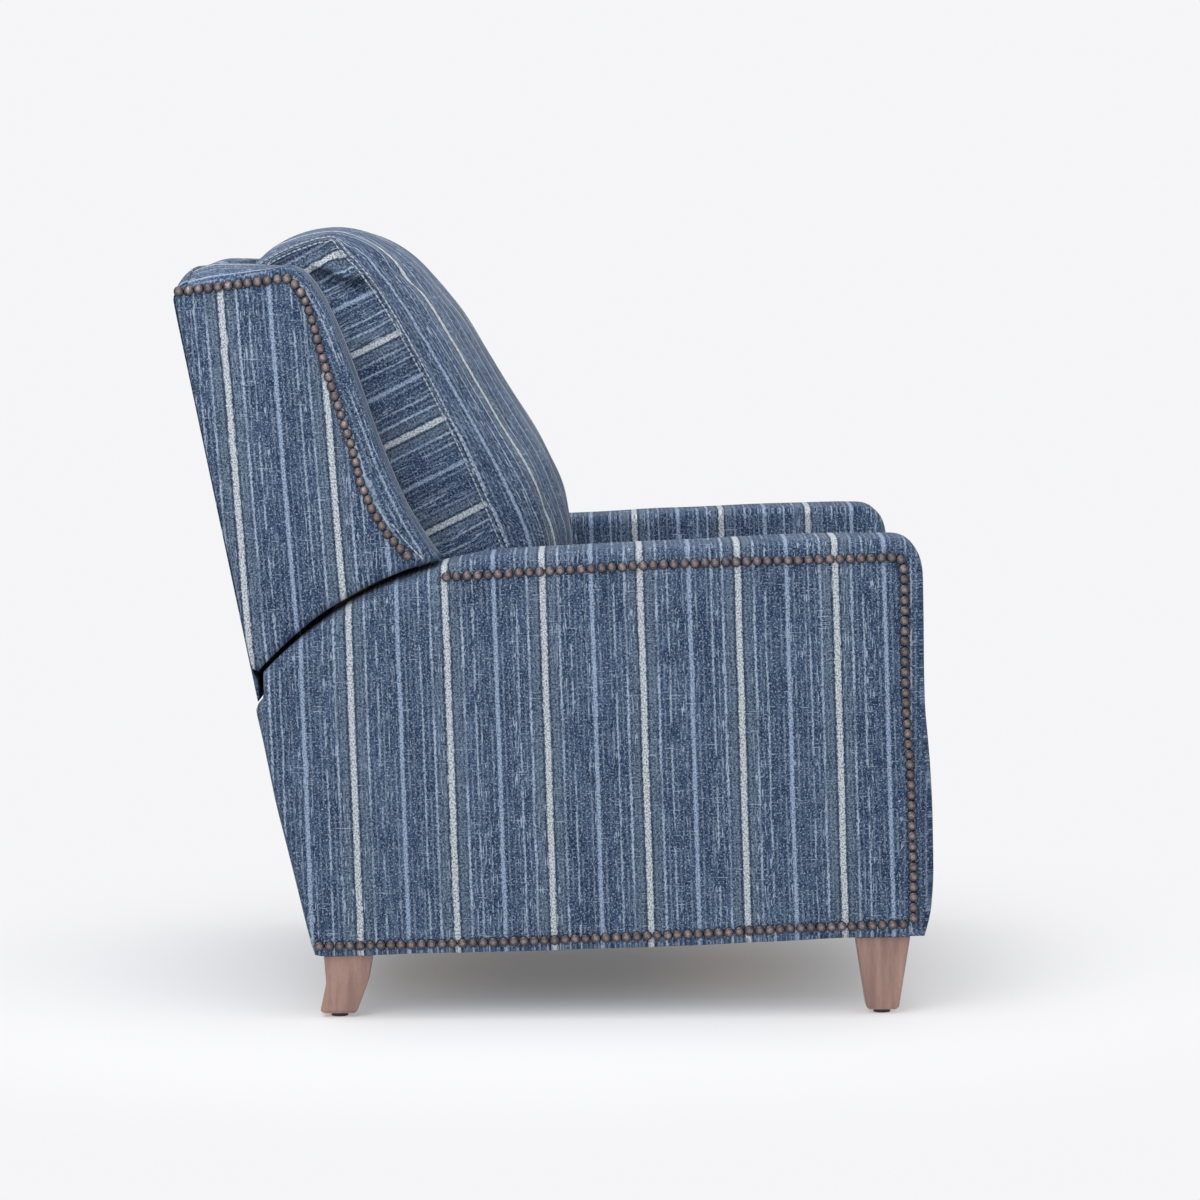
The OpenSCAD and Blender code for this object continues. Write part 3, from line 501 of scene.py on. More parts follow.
def piece_from(name: str, form: Form, material: bpy.types.Material, lays: Sequence[tuple[AnyLay, Mask]] = (),
               smooth: bool = True) -> bpy.types.Object:
    """A mesh object in the frame, with the cloth's map.

    Args:
        name: the piece's name.
        form: its form in millimetres.
        material: its finish.
        lays: lays of the cloth with the faces each is for; a later one wins.
        smooth: True for smooth shading.

    Returns:
        The object.
    """
    mesh = bpy.data.meshes.new(name)
    mesh.from_pydata((form.points * MM).tolist(), [], form.faces)
    mesh.update()
    obj = bpy.data.objects.new(name, mesh)
    bpy.context.scene.collection.objects.link(obj)
    volume_sign(mesh)
    mesh.materials.append(material)
    if smooth:
        mesh.shade_smooth()
    if lays:
        lay_cloth(mesh, form.parts, lays)
    return obj


def volume_sign(mesh: bpy.types.Mesh) -> None:
    """Turns the faces outwards if the closed mesh is inside out, after making them agree.

    Args:
        mesh: the mesh, which is changed.
    """
    work = bmesh.new()
    work.from_mesh(mesh)
    bmesh.ops.recalc_face_normals(work, faces=work.faces)
    work.to_mesh(mesh)
    work.free()
    mesh.update()


def lay_cloth(mesh: bpy.types.Mesh, parts: np.ndarray, lays: Sequence[tuple[AnyLay, Mask]]) -> None:
    """Writes the cloth's map, in metres of cloth, face by face.

    Args:
        mesh: the mesh at rest.
        parts: for each face, the part of the form it is on.
        lays: lays with the faces each is for; a later one wins.
    """
    middles, normals = values_of(mesh.polygons, "center") / MM, values_of(mesh.polygons, "normal")
    starts = values_of(mesh.polygons, "loop_start", 1, int)
    place = values_of(mesh.vertices, "co")[values_of(mesh.loops, "vertex_index", 1, int)] / MM
    owner = np.zeros(len(mesh.loops), int)
    owner[starts] = 1
    owner = np.cumsum(owner) - 1
    order = np.argsort(starts)
    uv = np.zeros((len(mesh.loops), 2))
    for lay, mask in lays:
        chosen = mask(middles, normals, parts)[order][owner]
        uv[chosen] = lay.place(place[chosen])
    layer = mesh.uv_layers.new(name="cloth")
    layer.uv.foreach_set("vector", (uv * MM).astype(np.float32).ravel())


def map_points(mesh: bpy.types.Mesh, u: np.ndarray, v: np.ndarray) -> None:
    """Writes a map with one place per point of the mesh.

    Args:
        mesh: the mesh.
        u: first number per point.
        v: second number per point.
    """
    corner = values_of(mesh.loops, "vertex_index", 1, int)
    layer = mesh.uv_layers.new(name="cloth")
    layer.uv.foreach_set("vector", np.column_stack([u, v])[corner].astype(np.float32).ravel())


def everywhere(middles: np.ndarray, normals: np.ndarray, parts: np.ndarray) -> np.ndarray:
    """Mask for all faces."""
    return np.ones(len(parts), bool)


def on_part(*wanted: int) -> Mask:
    """Mask for faces of the named parts of the form."""
    return lambda middles, normals, parts: np.isin(parts, wanted)


def ripple(points: np.ndarray, size: float, height: float, seed: float) -> np.ndarray:
    """Smooth unevenness at places in millimetres.

    Args:
        points: places.
        size: width of the unevenness.
        height: its largest size.
        seed: picks another pattern.

    Returns:
        One value per place.
    """
    return height * np.array([noise.noise(Vector(p) / size + Vector((seed, seed * 2, -seed))) for p in points])


def soften(obj: bpy.types.Object, size: float, height: float, seed: float) -> None:
    """Moves a mesh's points along their normals by a smooth unevenness.

    Args:
        obj: the piece.
        size: width of the unevenness in millimetres.
        height: its size in millimetres.
        seed: picks another pattern.
    """
    place, normal = values_of(obj.data.vertices, "co"), values_of(obj.data.vertex_normals, "vector")
    set_points(obj.data, place + normal * ripple(place / MM, size, height, seed)[:, None] * MM)


def subdivide(obj: bpy.types.Object, levels: int = 1) -> None:
    """Adds a subdivision to a piece."""
    step = obj.modifiers.new("fine", "SUBSURF")
    step.levels = step.render_levels = levels


def inflate(obj: bpy.types.Object, start: float, limit: float, held: np.ndarray | None = None,
            pressure: float = 4.0) -> None:
    """Fills a cover by cloth simulation and keeps the result.

    Args:
        obj: the cover's piece.
        start: how far the cover is drawn in before it fills, in millimetres.
        limit: how far a point may move out again, in millimetres.
        held: mask of points that stay where they are.
        pressure: pressure of the filling.
    """
    mesh = obj.data
    rest, normal = values_of(mesh.vertices, "co"), values_of(mesh.vertex_normals, "vector")
    fade = np.ones(len(rest))
    if held is not None:
        tree = KDTree(int(held.sum()))
        for i, spot in enumerate(rest[held]):
            tree.insert(spot, i)
        tree.balance()
        fade = np.array([min(1.0, tree.find(spot)[2] / (SEAM_FADE * MM)) for spot in rest])
    drawn = rest - normal * (start * fade)[:, None] * MM
    set_points(mesh, drawn)
    cloth = obj.modifiers.new("filling", "CLOTH")
    cloth.settings.use_pressure = True
    cloth.settings.uniform_pressure_force = pressure
    cloth.settings.effector_weights.gravity = 0
    cloth.settings.quality = 4
    if held is not None:
        group = obj.vertex_groups.new(name="held")
        group.add(np.where(held)[0].tolist(), 1.0, "REPLACE")
        cloth.settings.vertex_group_mass = "held"
    scene = bpy.context.scene
    for step in range(FILL_FRAMES):
        scene.frame_set(step + 1)
    depsgraph = bpy.context.evaluated_depsgraph_get()
    filled = values_of(obj.evaluated_get(depsgraph).data.vertices, "co")
    obj.modifiers.remove(cloth)
    scene.frame_set(1)
    moved = filled - drawn
    size = np.linalg.norm(moved, axis=1, keepdims=True)
    moved *= np.minimum(1, limit * (0.3 + 0.7 * fade)[:, None] * MM / np.maximum(size, 1e-9))
    set_points(mesh, drawn + moved)


# Finishes ---------------------------------------------------------------------------------


@dataclass(frozen=True)
class Grain:
    """Noise made into a share: its scale, and the range of it that runs from one share to another."""

    scale: Triple
    low: float
    high: float
    to_low: float = 0.0
    to_high: float = 1.0
    detail: float = 1.0


class Graph:
    """Short calls that build one material's nodes."""

    def __init__(self, name: str) -> None:
        """Starts a material with its shader.

        Args:
            name: the material's name.
        """
        self.material = bpy.data.materials.new(name)
        self.material.use_nodes = True
        self.tree = self.material.node_tree
        self.shader = self.tree.nodes["Principled BSDF"]

    def node(self, kind: str, **settings: object) -> bpy.types.Node:
        """A new node with its settings.

        Args:
            kind: the node's type.
            settings: its attributes.

        Returns:
            The node.
        """
        made = self.tree.nodes.new(kind)
        for key, value in settings.items():
            setattr(made, key, value)
        return made

    def feed(self, socket: bpy.types.NodeSocket, value: object) -> None:
        """Links a socket into another, or writes a number or a colour on it.

        Args:
            socket: the input.
            value: an output, a number or a colour.
        """
        if isinstance(value, bpy.types.NodeSocket):
            self.tree.links.new(value, socket)
        else:
            socket.default_value = value

    def math(self, kind: str, a: object, b: object = 0.0, c: object = 0.0) -> bpy.types.NodeSocket:
        """A math node's result.

        Args:
            kind: the operation.
            a: first value.
            b: second value.
            c: third value.

        Returns:
            The result.
        """
        made = self.node("ShaderNodeMath", operation=kind)
        for socket, value in zip(made.inputs, (a, b, c)):
            self.feed(socket, value)
        return made.outputs[0]

    def times(self, a: object, b: object) -> bpy.types.NodeSocket:
        """The product of two values."""
        return self.math("MULTIPLY", a, b)

    def plus(self, a: object, b: object) -> bpy.types.NodeSocket:
        """The sum of two values."""
        return self.math("ADD", a, b)

    def around_zero(self, vector: object, scale: Triple, detail: float = 1.0) -> bpy.types.NodeSocket:
        """Noise from -0.5 to 0.5."""
        return self.math("SUBTRACT", self.noise(vector, scale, detail), 0.5)

    def scaled(self, vector: object, scale: Triple) -> bpy.types.NodeSocket:
        """A vector multiplied part by part.

        Args:
            vector: the vector.
            scale: factor for each part.

        Returns:
            The result.
        """
        made = self.node("ShaderNodeVectorMath", operation="MULTIPLY")
        self.feed(made.inputs[0], vector)
        made.inputs[1].default_value = scale
        return made.outputs[0]

    def noise(self, vector: object, scale: Triple, detail: float = 1.0) -> bpy.types.NodeSocket:
        """Noise from 0 to 1 with its own scale along each axis.

        Args:
            vector: place that it is read at.
            scale: scale along each axis.
            detail: number of finer layers.

        Returns:
            The noise.
        """
        made = self.node("ShaderNodeTexNoise")
        made.inputs["Scale"].default_value = 1.0
        made.inputs["Detail"].default_value = detail
        self.feed(made.inputs["Vector"], self.scaled(vector, scale))
        return made.outputs["Fac"]

    def span(self, value: object, low: float, high: float, to_low: float = 0.0, to_high: float = 1.0
             ) -> bpy.types.NodeSocket:
        """A value mapped smoothly from one range to another, and kept in it.

        Args:
            value: the value.
            low: start of its range.
            high: end of its range.
            to_low: result at the start.
            to_high: result at the end.

        Returns:
            The result.
        """
        made = self.node("ShaderNodeMapRange", interpolation_type="SMOOTHSTEP")
        for socket, number in zip(made.inputs, (value, low, high, to_low, to_high)):
            self.feed(socket, number)
        return made.outputs[0]

    def grain(self, vector: object, kind: Grain) -> bpy.types.NodeSocket:
        """A grain's share at a place."""
        return self.span(self.noise(vector, kind.scale, kind.detail), kind.low, kind.high, kind.to_low, kind.to_high)

    def ramp(self, value: object, stops: Sequence[tuple[float, Colour]], hard: bool = False
             ) -> bpy.types.NodeSocket:
        """Colours along a value.

        Args:
            value: the value.
            stops: places with their colours.
            hard: True for steps without blending.

        Returns:
            The colour.
        """
        made = self.node("ShaderNodeValToRGB")
        made.color_ramp.interpolation = "CONSTANT" if hard else "LINEAR"
        marks = made.color_ramp.elements
        while len(marks) < len(stops):
            marks.new(0.5)
        for mark, (place, colour) in zip(marks, stops):
            mark.position = place
            mark.color = (*colour, 1)
        self.feed(made.inputs[0], value)
        return made.outputs[0]

    def mix(self, share: object, a: object, b: object, kind: str = "MIX") -> bpy.types.NodeSocket:
        """Two colours mixed.

        Args:
            share: share of the second colour.
            a: first colour.
            b: second colour.
            kind: how they are blended.

        Returns:
            The colour.
        """
        made = self.node("ShaderNodeMix", data_type="RGBA", blend_type=kind)
        self.feed(made.inputs[0], share)
        for socket, value in zip(made.inputs[6:8], (a, b)):
            self.feed(socket, (*value, 1) if isinstance(value, tuple) else value)
        return made.outputs[2]

    def bump(self, height: object, depth: float, strength: float = 1.0) -> None:
        """A bump on the shader's normal; depth is in millimetres.

        Args:
            height: the relief.
            depth: its depth in millimetres.
            strength: its strength.
        """
        made = self.node("ShaderNodeBump")
        made.inputs["Strength"].default_value = strength
        made.inputs["Distance"].default_value = depth * MM
        self.feed(made.inputs["Height"], height)
        self.tree.links.new(made.outputs[0], self.shader.inputs["Normal"])

    def set(self, **numbers: object) -> None:
        """Constants or sockets on the shader, by its sockets' names with _ for a space.

        Args:
            numbers: values by socket.
        """
        for key, value in numbers.items():
            socket = self.shader.inputs[key.replace("_", " ")]
            self.feed(socket, (*value, 1) if isinstance(value, tuple) and len(value) == 3 else value)

    def place(self) -> bpy.types.NodeSocket:
        """A point's place on the object in metres."""
        return self.node("ShaderNodeTexCoord").outputs["Object"]


@dataclass(frozen=True)
class Band:
    """A stripe in the cloth's repeat: its middle, half width and soft edge, and which yarn it is."""

    middle: float
    half: float
    soft: float
    yarn: int
    share: float = 1.0


@dataclass(frozen=True)
class StripedCloth:
    """Heathered indigo cloth with cream and light blue stripes, fine threads and slubs."""

    name: str = "striped_cloth"
    repeat: float = 125.0
    dark: Colour = (0.010, 0.024, 0.066)
    light: Colour = (0.063, 0.106, 0.188)
    haze: Colour = (0.160, 0.212, 0.270)
    thread: Colour = (0.37, 0.455, 0.575)
    cream: Colour = (0.58, 0.62, 0.66)
    sky: Colour = (0.32, 0.41, 0.565)
    shade: Colour = (0.007, 0.014, 0.040)
    stripes: tuple[Band, ...] = (Band(0, 3.1, 1.2, 0), Band(62.5, 1.7, 1.8, 0), Band(5.6, 0.3, 1.4, 1, 0.85),
                                 Band(9.4, 0.6, 2.6, 2, 0.9), Band(0, 11, 11, 2, 0.42))
    threads: tuple[Band, ...] = (
        Band(20.1, 0.7, 1.4, 1, 1.0), Band(34.5, 0.3, 1.6, 0, 0.9), Band(27, 0, 1.7, 0, 0.4),
        Band(40.5, 0, 1.7, 0, 0.4), Band(47, 0, 1.7, 0, 0.3), Band(54, 0, 1.8, 0, 0.45), Band(14.2, 0, 1.5, 0, 0.3))
    patches: tuple[tuple[Triple, float], ...] = (
        ((220, 20, 1), 0.20), ((90, 70, 1), 0.24), ((13, 9, 1), 0.20))
    heather: Pair = (0.37, 0.65)
    pepper: Grain = Grain((540, 380, 1), 0.58, 0.70, 0, 0.45)
    salt: Grain = Grain((470, 400, 1.7), 0.56, 0.70, 0, 0.62)
    fuzz: Grain = Grain((560, 260, 1), 0.34, 0.54, 0.25)
    breaks: Grain = Grain((150, 22, 1), 0.38, 0.52)
    fades: Grain = Grain((90, 16, 1), 0.34, 0.60, 0.35)
    columns: Grain = Grain((42, 1.6, 1), 0.44, 0.62)
    dashes: Grain = Grain((520, 56, 1), 0.66, 0.76, detail=0)
    slubs: Grain = Grain((40, 640, 1), 0.62, 0.74)
    slub_patches: Grain = Grain((18, 60, 1), 0.48, 0.62, 0, 0.75)
    wear: Grain = Grain((560, 420, 1), 0.34, 0.60, 0.22)
    wander: float = 2.4
    ragged: float = 4.6
    weave_pitch: float = 2.1

    def stops(self, bands: Sequence[Band]) -> list[tuple[float, Colour]]:
        """Strengths of three yarns along half a repeat, from the cream to the light blue, for a ramp.

        Args:
            bands: the stripes.

        Returns:
            Places with the yarns' strengths.
        """
        half = self.repeat / 2
        places = {0.0, 1.0}
        for band in bands:
            for d in (-band.half - band.soft, -band.half, band.half, band.half + band.soft):
                if 0 < band.middle + d < half:
                    places.add((band.middle + d) / half)
        return [(p, self.strengths(p * half, bands)) for p in sorted(places)]

    @staticmethod
    def strengths(place: float, bands: Sequence[Band]) -> Colour:
        """Strengths of the yarns at a distance in millimetres from the cream's middle.

        Args:
            place: the distance.
            bands: the stripes.

        Returns:
            The three strengths.
        """
        found = [0.0, 0.0, 0.0]
        for band in bands:
            here = min(max((band.half + band.soft - abs(place - band.middle)) / band.soft, 0), 1) * band.share
            found[band.yarn] = max(found[band.yarn], here)
        return found[0], found[1], found[2]

    def ground(self, g: Graph, uv: bpy.types.NodeSocket) -> tuple[bpy.types.NodeSocket, bpy.types.NodeSocket]:
        """The heathered ground with its specks.

        Args:
            g: the material's graph.
            uv: place on the cloth.

        Returns:
            The colour and the grain that it follows.
        """
        fibre = g.noise(uv, (600, 220, 1))
        grain = g.noise(uv, (430, 390, 1))
        heather = g.plus(g.times(fibre, 0.40), g.times(grain, 0.60))
        for scale, share in self.patches:
            heather = g.plus(heather, g.times(g.around_zero(uv, scale), share))
        colour = g.mix(g.span(heather, *self.heather), self.dark, self.light)
        colour = g.mix(g.grain(uv, self.pepper), colour, self.shade)
        return g.mix(g.grain(uv, self.salt), colour, self.thread), grain

    def material(self) -> bpy.types.Material:
        """The cloth as a material that reads the cloth map.

        Returns:
            The material.
        """
        g = Graph(self.name)
        uv = g.node("ShaderNodeUVMap", uv_map="cloth").outputs[0]
        split = g.node("ShaderNodeSeparateXYZ")
        g.feed(split.inputs[0], uv)
        wander = g.times(g.around_zero(uv, (9, 10, 1), 2), self.wander * MM)
        ragged = g.times(g.around_zero(uv, (500, 230, 1)), self.ragged * MM)
        u = g.plus(split.outputs[0], g.plus(wander, ragged))
        half = self.repeat * MM / 2
        turn = g.math("DIVIDE", g.math("PINGPONG", g.math("ABSOLUTE", u), half), half)
        yarns, threads = g.node("ShaderNodeSeparateColor"), g.node("ShaderNodeSeparateColor")
        g.feed(yarns.inputs[0], g.ramp(turn, self.stops(self.stripes)))
        g.feed(threads.inputs[0], g.ramp(turn, self.stops(self.threads)))
        colour, grain = self.ground(g, uv)
        colour = g.mix(g.times(yarns.outputs[2], g.span(grain, 0.36, 0.60, 0.10, 1.0)), colour, self.haze)
        colour = g.mix(g.times(yarns.outputs[1], 0.8), colour, self.shade)
        broken = g.times(threads.outputs[0], g.grain(uv, self.breaks))
        fading = g.times(threads.outputs[1], g.grain(uv, self.fades))
        lines = g.times(g.math("MAXIMUM", broken, fading), g.grain(uv, self.fuzz))
        colour = g.mix(lines, colour, self.thread)
        dashes = g.times(g.grain(uv, self.dashes), g.grain(uv, self.columns))
        colour = g.mix(g.times(dashes, 0.8), colour, self.thread)
        slub = g.times(g.grain(uv, self.slubs), g.grain(uv, self.slub_patches))
        colour = g.mix(slub, colour, self.thread)
        stripe = g.ramp(turn, [(0.0, self.cream), (0.5, self.sky)], hard=True)
        colour = g.mix(g.times(yarns.outputs[0], g.grain(uv, self.wear)), colour, stripe)
        warp, filling = (g.math("SINE", g.times(split.outputs[k], 2 * math.pi / (self.weave_pitch * MM)))
                         for k in (0, 1))
        weave = g.plus(g.times(g.times(warp, filling), 0.35), grain)
        g.set(Base_Color=colour, Roughness=0.88, Sheen_Weight=0.04, Sheen_Roughness=0.5, Specular_IOR_Level=0.2)
        g.bump(weave, 0.9, 0.6)
        return g.material


@dataclass(frozen=True)
class PlainCloth:
    """Plain woven cloth of one colour, such as deck cloth, webbing or sewing thread."""

    name: str
    colour: Colour
    pitch: float = 1.6

    def material(self) -> bpy.types.Material:
        """The cloth as a material.

        Returns:
            The material.
        """
        g = Graph(self.name)
        place = g.place()
        split = g.node("ShaderNodeSeparateXYZ")
        g.feed(split.inputs[0], place)
        waves = [g.math("SINE", g.times(s, 2 * math.pi / (self.pitch * MM))) for s in split.outputs]
        weave = g.times(waves[0], g.plus(waves[1], waves[2]))
        grain = g.noise(place, (300, 300, 300), 2)
        dark = tuple(0.6 * c for c in self.colour)
        g.set(Base_Color=g.mix(g.span(g.plus(grain, g.times(weave, 0.06)), 0.3, 0.7), dark, self.colour),
              Roughness=0.9)
        g.bump(g.plus(grain, g.times(weave, 0.3)), 0.4, 0.6)
        return g.material


@dataclass(frozen=True)
class Timber:
    """Timber with grain along one axis."""

    name: str
    pale: Colour
    deep: Colour
    along: Axis = Axis.Z
    rough: float = 0.5
    coat: float = 0.0

    def material(self) -> bpy.types.Material:
        """The timber as a material.

        Returns:
            The material.
        """
        g = Graph(self.name)
        place = g.place()

        def stretched(fine: float, long: float) -> Triple:
            """Noise scale that is long along the grain.

            Args:
                fine: scale across the grain.
                long: scale along it.

            Returns:
                The scale.
            """
            scale = [fine] * 3
            scale[self.along.value] = long
            return scale[0], scale[1], scale[2]

        figure = g.noise(place, stretched(70, 4), 3)
        pores = g.noise(place, stretched(900, 30), 1)
        flecks = g.span(pores, 0.58, 0.72, 0, 0.5)
        tone = g.span(g.plus(g.times(figure, 0.75), g.times(pores, 0.25)), 0.36, 0.64)
        colour = g.mix(flecks, g.mix(tone, self.deep, self.pale), self.deep)
        g.set(Base_Color=colour, Roughness=g.span(pores, 0.3, 0.7, self.rough, self.rough + 0.15),
              Coat_Weight=self.coat, Coat_Roughness=0.35)
        g.bump(g.math("SUBTRACT", figure, flecks), 0.25, 0.5)
        return g.material


@dataclass(frozen=True)
class Metal:
    """Painted, plated or bronzed metal with fine wear."""

    name: str
    colour: Colour
    worn: Colour
    metallic: float
    rough: float
    spots: float = 90.0

    def material(self) -> bpy.types.Material:
        """The metal as a material.

        Returns:
            The material.
        """
        g = Graph(self.name)
        place = g.place()
        patch = g.noise(place, (self.spots,) * 3, 3)
        fine = g.noise(place, (self.spots * 9,) * 3, 1)
        g.set(Base_Color=g.mix(g.span(patch, 0.42, 0.68), self.colour, self.worn), Metallic=self.metallic,
              Roughness=g.span(fine, 0.3, 0.7, self.rough, self.rough + 0.18))
        g.bump(g.plus(patch, g.times(fine, 0.3)), 0.12, 0.5)
        return g.material


@dataclass(frozen=True)
class NailFinish:
    """Aged nail heads: a worn crown with a painted highlight, a bronzed body and a dark rim of patina and painted
    shade.
    """

    name: str = "aged_nails_painted_light"
    # crown: worn metal with a painted highlight; rim: patina with painted shade
    crown: Colour = (0.36, 0.30, 0.30)
    body: Colour = (0.130, 0.112, 0.122)
    rim: Colour = (0.030, 0.027, 0.034)

    def material(self) -> bpy.types.Material:
        """The heads' metal, which reads a head's share from middle to rim from its map; the light crown is a painted
        highlight, the dark rim painted shade.

        Returns:
            The material.
        """
        g = Graph(self.name)
        split = g.node("ShaderNodeSeparateXYZ")
        g.feed(split.inputs[0], g.node("ShaderNodeUVMap", uv_map="cloth").outputs[0])
        patch = g.noise(g.place(), (560,) * 3, 2)
        share = g.plus(split.outputs[0], g.times(g.math("SUBTRACT", patch, 0.5), 1.1))
        # Painted highlight on the crown, painted shade with patina towards the rim.
        colour = g.ramp(share, [(0.0, self.crown), (0.26, self.crown), (0.56, self.body), (0.84, self.body),
                                (0.97, self.rim)])
        colour = g.mix(g.times(split.outputs[1], 0.5), colour, self.rim)
        g.set(Base_Color=colour, Metallic=0.85, Roughness=g.span(patch, 0.3, 0.7, 0.34, 0.55))
        g.bump(patch, 0.15, 0.5)
        return g.material


@dataclass(frozen=True)
class Moulding:
    """Dull moulded plastic."""

    name: str
    colour: Colour

    def material(self) -> bpy.types.Material:
        """The plastic as a material.

        Returns:
            The material.
        """
        g = Graph(self.name)
        fine = g.noise(g.place(), (1500, 1500, 1500), 1)
        g.set(Base_Color=g.mix(g.span(fine, 0.3, 0.7), self.colour, tuple(1.5 * c for c in self.colour)),
              Roughness=g.span(fine, 0.3, 0.7, 0.5, 0.7))
        g.bump(fine, 0.05, 0.4)
        return g.material


class Finishes:
    """All finishes of the chair, each made once."""

    def __init__(self) -> None:
        """Makes the materials."""
        self.cloth = StripedCloth().material()
        self.thread = PlainCloth("sewing_thread", (0.47, 0.54, 0.61), pitch=0.8).material()
        self.deck = PlainCloth("deck_cloth", (0.055, 0.06, 0.07)).material()
        self.strap = PlainCloth("webbing", (0.30, 0.27, 0.21), pitch=2.4).material()
        self.leg = Timber("leg_wood", (0.40, 0.245, 0.20), (0.255, 0.15, 0.125), rough=0.45, coat=0.15).material()
        pale, deep = (0.64, 0.49, 0.31), (0.47, 0.33, 0.19)
        self.boards = {
            axis: Timber(f"frame_wood_{axis.name}", pale, deep, axis, rough=0.65).material() for axis in Axis}
        self.steel = Metal("link_steel", (0.030, 0.031, 0.035), (0.055, 0.056, 0.06),
                           metallic=0.55, rough=0.38).material()
        self.zinc = Metal("pin_zinc", (0.50, 0.50, 0.52), (0.36, 0.36, 0.38), metallic=1.0, rough=0.30).material()
        self.wire = Metal("spring_steel", (0.22, 0.22, 0.23), (0.12, 0.11, 0.10), metallic=1.0, rough=0.38).material()
        self.glide = Moulding("glide_plastic", (0.03, 0.03, 0.032)).material()
        self.nail = NailFinish().material()


# Sizes shared by the sub-assemblies ---------------------------------------------------------


@dataclass(frozen=True)
class Sizes:
    """The chair's main sizes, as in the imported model, and how far the shown cloth leaves them."""

    outer_x: float = 393.5
    inner_x: float = 266.5
    moving_x: float = 262.0
    front_y: float = -479.5
    rear_y: float = 479.5
    arm_h: float = 621.0
    back_h: float = 949.0
    front_under: float = 112.0
    rear_under: float = 91.0
    rear_foot_y: float = 307.0
    base_lean: float = 10.9
    rear_panel_h: float = 424.0
    nest: Pair = (25.0, 134.0)
    nest_r: float = 471.0
    wing_in: float = 285.0
    wing_out: float = 388.0
    back_lean: float = 11.07
    outside_t: float = 12.0
    crest_r: float = 20.0
    crest_crown: float = 28.0
    crest_depth: float = 130.0
    crest_rise: float = 100.0
    crest_below: float = 48.0
    rear_dip: Triple = (434.0, 46.0, 0.42)
    rear_stripe: float = 62.5
    skin: float = 1.2
    flap_h: float = 415.0
    under_sag: Pairs = ((-480, 8), (-400, 6.5), (-190, 10), (16, 10.5), (307, 8))
    rear_swell: Pairs = (
        (83, 3), (95, 5.5), (135, 7.6), (186, 10), (237, 11.5), (288, 13.5), (340, 14.5), (400, 14.6), (403, 14.4),
        (407, 13.2), (411, 11), (413, 8.3), (415, 5.5), (418, 3), (424, 0))
    front_swell: Pairs = (
        (104, 12), (135, 14), (186, 13), (237, 10.3), (288, 7.7), (339, 5), (400, 0))
    deck_h: float = 380.0
    cushion_h: float = 496.0
    cushion_low: float = 520.0

    def under_z(self, y: float) -> float:
        """Height of the frame's underside at a depth."""
        slope = (self.rear_under - self.front_under) / (self.rear_foot_y - self.front_y)
        return self.front_under + (y - self.front_y) * slope

    def base_rear(self, z: float) -> float:
        """Y of the base's rear edge at a height."""
        return self.rear_foot_y + (z - self.rear_under) * math.tan(math.radians(self.base_lean))

    def cloth_under_z(self, y: float) -> float:
        """Height of the cloth's lower edge, which hangs a little below the frame."""
        return self.under_z(y) - float(np.interp(y, *zip(*self.under_sag)))

    def cloth_rear(self, z: float) -> float:
        """Y of the cloth's rear edge: it swells below the hanging flap."""
        return self.base_rear(z) + float(np.interp(z, *zip(*self.rear_swell)))

    @property
    def crest(self) -> np.ndarray:
        """Middle of the rounded rear top corner."""
        return np.array([self.rear_y - self.crest_r, self.back_h - self.crest_r])

    def back_rear(self, z: float) -> float:
        """Y of the outside back at a height."""
        lean = math.radians(self.back_lean)
        return self.crest[0] + self.crest_r / math.cos(lean) + (z - self.crest[1]) * math.tan(lean)

    def crest_lift(self, points: np.ndarray) -> np.ndarray:
        """Rise of the back's top between its shoulders, which fades towards the wings' fronts.

        Args:
            points: places on the back's covers.

        Returns:
            One rise per point.
        """
        x, y, z = points.T
        dip_y, dip_run, dip = self.rear_dip
        across = 1 - np.minimum(np.abs(x) / self.wing_out, 1) ** 7
        across = across * (1 - dip * np.clip((y - dip_y) / dip_run, 0, 1) ** 1.5)
        return (self.crest_crown * across * np.clip((y - self.crest[0] + self.crest_depth) / self.crest_rise, 0, 1)
                * np.clip((z - self.back_h + self.crest_below) / self.crest_below, 0, 1))


SIZES = Sizes()


def dress(obj: bpy.types.Object, body: str, replaced: Sequence[str] = ()) -> bpy.types.Object:
    """Puts a piece on its body and hides the solids that it stands for.

    Args:
        obj: the piece.
        body: the body it rides on.
        replaced: solids that it replaces.

    Returns:
        The piece.
    """
    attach(obj, body)
    if replaced:
        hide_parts(*replaced)
    LOG.info("%s on %s", obj.name, body)
    return obj


